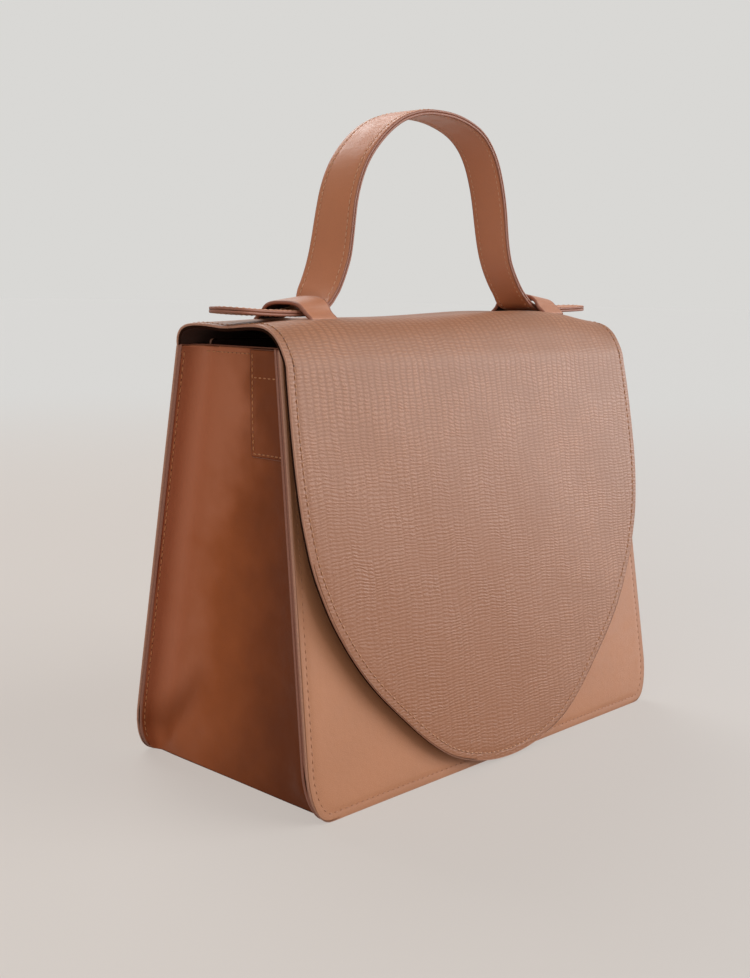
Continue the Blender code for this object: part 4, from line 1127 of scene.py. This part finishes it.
def stitch_rows(name, rows, looks, radius=STITCH_RADIUS):
    """Thread along paths on surfaces. Each stitch is a capsule whose ends dip under the leather, with a flat
    dark dome at each end: the painted shade of a needle hole."""
    verts, faces, groups = [], [], []
    spans = (-1.0, -0.8, -0.4, 0.0, 0.4, 0.8, 1.0)
    around = [(math.cos(math.pi / 3 * k), math.sin(math.pi / 3 * k)) for k in range(6)]
    pairs = [(k, (k + 1) % 6) for k in range(6)]
    for surface, path, sign, lift, (pitch, length) in rows:
        steps = length_along(path)
        count = max(int(round(steps[-1] / pitch)), 1)
        spots = (np.arange(count) + 0.5) * steps[-1] / count
        half = length / 2

        def at(s):
            return frame_at(surface, points_at(path, steps, s), sign)[:2]
        place, normal = at(spots)
        ways = unit(at(spots + half)[0] - at(spots - half)[0])
        for c, n, t in zip(place, normal, ways):
            s = np.cross(t, n)
            base = len(verts)
            for span in spans:
                size = radius * math.sqrt(max(1 - span ** 2 * 0.93, 0.05))
                middle = c + t * span * half + n * (lift + radius * (0.55 - 0.75 * span ** 2))
                verts += [middle + s * size * x + n * size * y for x, y in around]
            for i in range(base, len(verts) - 6, 6):
                faces += [(i + k, i + j, i + 6 + j, i + 6 + k) for k, j in pairs]
            faces += [tuple(range(base, base + 6))[::-1], tuple(range(len(verts) - 6, len(verts)))]
            groups += [0] * (len(faces) - len(groups))
            # A flat dark dome at each end, painted as the shade of a needle hole
            for spot in (c - t * half * 1.2, c + t * half * 1.2):
                base = len(verts)
                verts += [spot + (s * x + t * y) * radius * 1.9 + n * (lift - 0.0001) for x, y in around]
                verts += [spot + n * (lift + 0.00008), spot + n * (lift - 0.0003)]
                for k, j in pairs:
                    faces += [(base + k, base + j, base + 6), (base + j, base + k, base + 7)]
            groups += [1] * (len(faces) - len(groups))
    item = make_object(name, np.array(verts), faces, groups, looks)
    face_outwards(item)
    return item


def build_thread():
    """Every row of stitches."""
    t = np.linspace(0, 1, 200)
    bottom, right, top, left = (side(t) for side in panel_sides())
    seam = seam_path(np.concatenate([left[::-1], bottom[1:], right[1:]]), SEAM)
    seam = seam[seam[:, 1] < HEIGHT - 0.002]
    rows = [(panel_face(back), seam, 1, -PANEL_SINK, LONG_STITCH) for back in (False, True)]
    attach(stitch_rows("panel_stitches", rows, (panel_thread, hole_shade)), "bag")
    z = np.linspace(0.007, GUSSET_TOP - 0.003, 200)
    columns = [np.stack([turn * (gusset_reach(z, turn) - FLANGE_SEAM), z], axis=1) for turn in (1, -1)]
    across = np.stack([np.linspace(-0.024, 0.026, 50), np.full(50, GUSSET_TOP - 0.003)], axis=1)
    front, back = PATCH_FRONT + PATCH_SEAM, PATCH_BACK - PATCH_SEAM
    low, high = PATCH_LOW + PATCH_SEAM, PATCH_HIGH - PATCH_SEAM
    patch_rows = [np.array([(front, high), (front, low), (back, low), (back, high)]),
                  np.array([(front, PATCH_CROSS), (back, PATCH_CROSS)])]
    rows = []
    for side in (-1, 1):
        face, raised = gusset_face(side), gusset_face(side, PATCH_LIFT)
        rows += [(face, column, side, -GUSSET_GROOVE, LONG_STITCH) for column in columns]
        rows.append((face, across, side, -GUSSET_GROOVE, TOP_STITCH))
        rows += [(raised, patch_lean(resampled(path)), side, -PATCH_GROOVE, PATCH_STITCH)
                 for path in patch_rows]
    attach(stitch_rows("gusset_stitches", rows, (gusset_thread, hole_shade)), "bag")
    edge = seam_path(flap_back_sides()[1](t), SEAM)
    rows = [(flap_face(), path, -1, -FLAP_GROOVE, LONG_STITCH) for path in (edge, edge * MIRROR)]
    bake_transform(stitch_rows("flap_back_stitches", rows, (tan_thread, flap_hole_shade)))
    rows = [(flap_face(), seam_path(flap_front_rim(t), SEAM), -1, -FLAP_GROOVE, LONG_STITCH)]
    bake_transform(stitch_rows("flap_front_stitches", rows, (tan_thread, flap_hole_shade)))
    box = outline_of(STRAP_BOX)
    path = seam_path(np.concatenate([box, box[:1]]), STRAP_SEAM)
    rows = [(strap_face(-STRAP_PLY), path, 1, -STRAP_GROOVE, STRAP_STITCH),
            (strap_face(STRAP_PLY), path, -1, -STRAP_UNDER_GROOVE, STRAP_STITCH)]
    item = stitch_rows("strap_stitches", rows, (strap_thread, shallow_hole_shade), STRAP_STITCH_RADIUS)
    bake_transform(item)


# Base, pocket and ring tabs

def base_ring(z, inward):
    """A rounded rectangle inside the walls and gussets."""
    r = max(0.0035 - inward, 0.0012)
    x = half_width(z) - GUSSET_INSET - GUSSET - 0.0004 - inward - r
    y = wall_y(z, INSIDE_DEPTH + 0.0003) - inward - r
    corners = [arc(a, b, r, start, count=5)
               for a, b, start in ((x, y, 0), (-x, y, 90), (-x, -y, 180), (x, -y, 270))]
    return [(a, b, z) for a, b in np.concatenate(corners)]


def build_base():
    """The base's tray with rounded edges, and the lining sheet on its board."""
    r, rim = 0.0012, 0.0008
    rings = [base_ring(r - r * math.cos(t), r - r * math.sin(t)) for t in np.linspace(0, math.pi / 2, 6)]
    rings.append(base_ring(TRAY_RIM, 0))
    rings += [base_ring(TRAY_RIM + rim * math.sin(t), 0.001 - 0.001 * math.cos(t))
              for t in np.linspace(0, math.pi, 7)]
    rings.append(base_ring(TRAY_FLOOR, 0.002))
    hand_over(loft("base_leather", rings, [saddle]), "bag", "saddle", "base_panel")
    rings = [base_ring(z, 0.0024 + inward) for z, inward in SHEET_EDGE]
    hand_over(loft("base_lining_leather", rings, [inner]), "bag", "lining", "base_lining")


def pocket_face(a, b):
    """The slip pocket's outer face on the back lining, whose mouth stands slightly open."""
    open_up = smooth((b - 0.075) / 0.045) * np.cos(np.clip(a / POCKET_HALF, -1, 1) * math.pi / 2) * 0.0016
    return np.stack([a, wall_y(b, INSIDE_DEPTH + 0.0001) - open_up - 0.0010, b + 0 * a], axis=-1)


def build_pocket():
    """The slip pocket and its stitches."""
    box = rounded_box(-POCKET_HALF, POCKET_HALF, POCKET_LOW, POCKET_HIGH, [0.008, 0.008, 0.001, 0.001])
    skin = sheet("slip_pocket_leather", pocket_face, box, shares(0.13, 0.004), shares(0.077, 0.004), POCKET,
                 POCKET_RIM, 1, LINING_LOOK, panel_relief)
    hand_over(skin, "bag", "lining", "slip_pocket")
    bottom, right, top, left = (side(np.linspace(0, 1, 100)) for side in box)
    path = seam_path(np.concatenate([left[::-1], bottom[1:], right[1:]]), POCKET_SEAM)
    rows = [(pocket_face, path, 1, 0.0, LONG_STITCH)]
    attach(stitch_rows("pocket_stitches", rows, (tan_thread, hole_shade)), "bag")


def build_ring_tabs():
    """The tabs that hold the rings: a tail on the gusset's inner face and a loop round the bar."""
    wrap, half_leather, half_width_y, r = 0.00215, 0.0006, 0.0075, 0.0004
    tail = [(wrap, -0.026 + k * 0.002) for k in range(13)]
    path = np.concatenate([tail, arc(0, 0, wrap, 0, 290, 25)])
    normal = to_the_right(unit(np.gradient(path, axis=0)))
    section = np.concatenate([arc(u * (half_width_y - r), v * (half_leather - r), r, start, -90, 4)
                              for u, v, start in ((-1, -1, 270), (-1, 1, 180), (1, 1, 90), (1, -1, 360))])
    for name, side, joint in (("left", -1, 3), ("right", 1, 4)):
        x, y, z = frame["joints"][joint]["pos_m"]
        rings = [[(x + side * (p[0] + n[0] * v), y + u, z + p[1] + n[1] * v) for u, v in section]
                 for p, n in zip(path, normal)]
        tab = loft("ring_tab_" + name + "_leather", rings, [saddle])
        hand_over(tab, "bag", "saddle", "ring_tab_" + name)


def dress_cad():
    """Better materials for the metal and the board, whose shapes are right as they are."""
    looks = {"front_magnet": steel, "flap_magnet": steel, "d_ring_left": brass, "d_ring_right": brass,
             "base_board": board}
    for name, material in looks.items():
        mesh = nodes[name].data
        mesh.materials.clear()
        mesh.materials.append(material)


# Stage

LIGHTS = (  # name, direction it comes from, strength, spread in degrees, colour
    ("window", (0.50, -0.70, 0.50), 1.50, 45, (1.0, 0.985, 0.97)),
    ("low window", (0.88, -0.45, 0.12), 1.50, 25, (0.95, 0.98, 1.0)),
    ("side", (-0.88, -0.32, 0.30), 0.68, 40, (1.0, 0.97, 0.95)),
    ("back window", (0.22, 0.68, 0.70), 1.4, 40, (1.0, 0.99, 0.98)),
)
CAMERA_PLACE = (-0.4346, -0.3916, 0.2019)
CAMERA_YAW, CAMERA_PITCH, CAMERA_ROLL = math.radians(-46.21), math.radians(8.65), math.radians(0.89)
CAMERA_LENS = 46.77
FLOOR_HALF = 30.0
FLOOR_GLOW = 0.6
FLOOR_DARK, FLOOR_LIGHT, FLOOR_FAR = (0.455, 0.435, 0.415), (0.465, 0.445, 0.425), (0.50, 0.495, 0.48)
# Glow where the floor is seen: painted light, brighter on the right than on the left, and even far away
GLOW_LEFT, GLOW_RIGHT, GLOW_FAR = (0.785, 0.713, 0.66), (0.80, 0.765, 0.74), (0.800, 0.791, 0.774)
SKY_DARK, SKY_LIGHT, SKY_SEEN = (0.25, 0.247, 0.24), (0.42, 0.416, 0.408), (0.693, 0.685, 0.665)


def seen_directly(n):
    """1 for what the camera sees, straight or by a shiny or clear surface, and 0 for light on the object."""
    path = n.add("ShaderNodeLightPath", {}).outputs
    seen = n.math("MAXIMUM", path["Is Camera Ray"], path["Is Glossy Ray"])
    return n.math("MAXIMUM", seen, path["Is Transmission Ray"])


def floor_look():
    """A pale, matt floor that fades into the backdrop's colour far away, lifted a little where it is seen by
    a glow that is painted light, brighter towards the right.
    """
    n = Nodes("pale floor", 0.9, shine=0.1)
    coords = n.coords()
    slow = n.noise(coords, 3.0, 3.0, 0.5)
    fine = n.noise(coords, 60.0, 3.0, 0.6)
    away = n.add("ShaderNodeVectorMath", {0: coords}, operation="LENGTH").outputs["Value"]
    far = n.range(away, 0.4, 2.2)
    base = n.mix(n.range(slow, 0.3, 0.7), FLOOR_DARK, FLOOR_LIGHT)
    n.finish(n.mix(far, base, FLOOR_FAR), n.bump(fine, 0.0003, 0.2))
    # Painted light: the seen floor is brighter towards the right
    painted_light_to_right = n.range(n.towards(coords, (0.69, -0.72, 0.0)), -0.05, 0.35)
    near = n.mix(painted_light_to_right, GLOW_LEFT, GLOW_RIGHT)
    glow = n.add("ShaderNodeEmission", {"Color": n.mix(far, near, GLOW_FAR)})
    share = n.times(seen_directly(n), FLOOR_GLOW)
    blend = n.add("ShaderNodeMixShader", {0: share, 1: n.shader.outputs[0], 2: glow.outputs[0]})
    n.link(blend.outputs[0], n.tree.nodes["Material Output"].inputs["Surface"])
    return n.material


def build_sky():
    """A soft sky, brighter towards the window, whose seen part has one plain colour."""
    world = bpy.data.worlds.new("soft sky")
    bpy.context.scene.world = world
    world.use_nodes = True
    sky = NodeTree(world.node_tree)
    direction = sky.add("ShaderNodeTexCoord", {}).outputs["Generated"]
    window = sky.range(sky.towards(direction, (0.8, -0.6, 0.0)), -1.0, 1.0)
    light = sky.mix(window, SKY_DARK, SKY_LIGHT)
    background = world.node_tree.nodes["Background"]
    sky.link(sky.mix(seen_directly(sky), light, SKY_SEEN), background.inputs["Color"])


def sun_light(name, towards, strength, spread, colour):
    """A soft light from far away, seen in a given direction, that spreads over an angle."""
    light = bpy.data.lights.new(name, "SUN")
    light.energy = strength
    light.angle = math.radians(spread)
    light.color = colour
    item = bpy.data.objects.new(name, light)
    bpy.context.scene.collection.objects.link(item)
    item.location = Vector(towards) * 2
    item.rotation_euler = Vector(towards).to_track_quat("Z", "Y").to_euler()


def build_camera():
    """The photograph's camera, turned by its yaw, pitch and roll."""
    camera = bpy.data.cameras.new("camera")
    camera.lens = CAMERA_LENS
    camera.sensor_width = 36.0
    camera.sensor_fit = "AUTO"
    item = bpy.data.objects.new("camera", camera)
    bpy.context.scene.collection.objects.link(item)
    flat = math.cos(CAMERA_PITCH)
    back = Vector((math.sin(CAMERA_YAW) * flat, -math.cos(CAMERA_YAW) * flat, math.sin(CAMERA_PITCH)))
    right = (-back).cross(Vector((0, 0, 1))).normalized()
    up = right.cross(-back)
    x_axis = right * math.cos(CAMERA_ROLL) + up * math.sin(CAMERA_ROLL)
    y_axis = up * math.cos(CAMERA_ROLL) - right * math.sin(CAMERA_ROLL)
    turn = Matrix((x_axis, y_axis, back)).transposed().to_4x4()
    item.matrix_world = Matrix.Translation(CAMERA_PLACE) @ turn
    bpy.context.scene.camera = item


def build_stage():
    """A pale floor under a soft sky, soft lights and the photograph's camera."""
    corners = [(x * FLOOR_HALF, y * FLOOR_HALF, 0.0) for x, y in ((-1, -1), (1, -1), (1, 1), (-1, 1))]
    floor = make_object("floor", np.array(corners), [(0, 1, 2, 3)], [0], [floor_look()])
    build_sky()
    for light in LIGHTS:
        sun_light(*light)
    build_camera()
    bpy.context.scene.view_settings.view_transform = "Standard"


build_walls()
build_gussets()
build_flap()
build_strap()
build_keepers()
build_base()
build_pocket()
build_ring_tabs()
build_thread()
dress_cad()
build_stage()
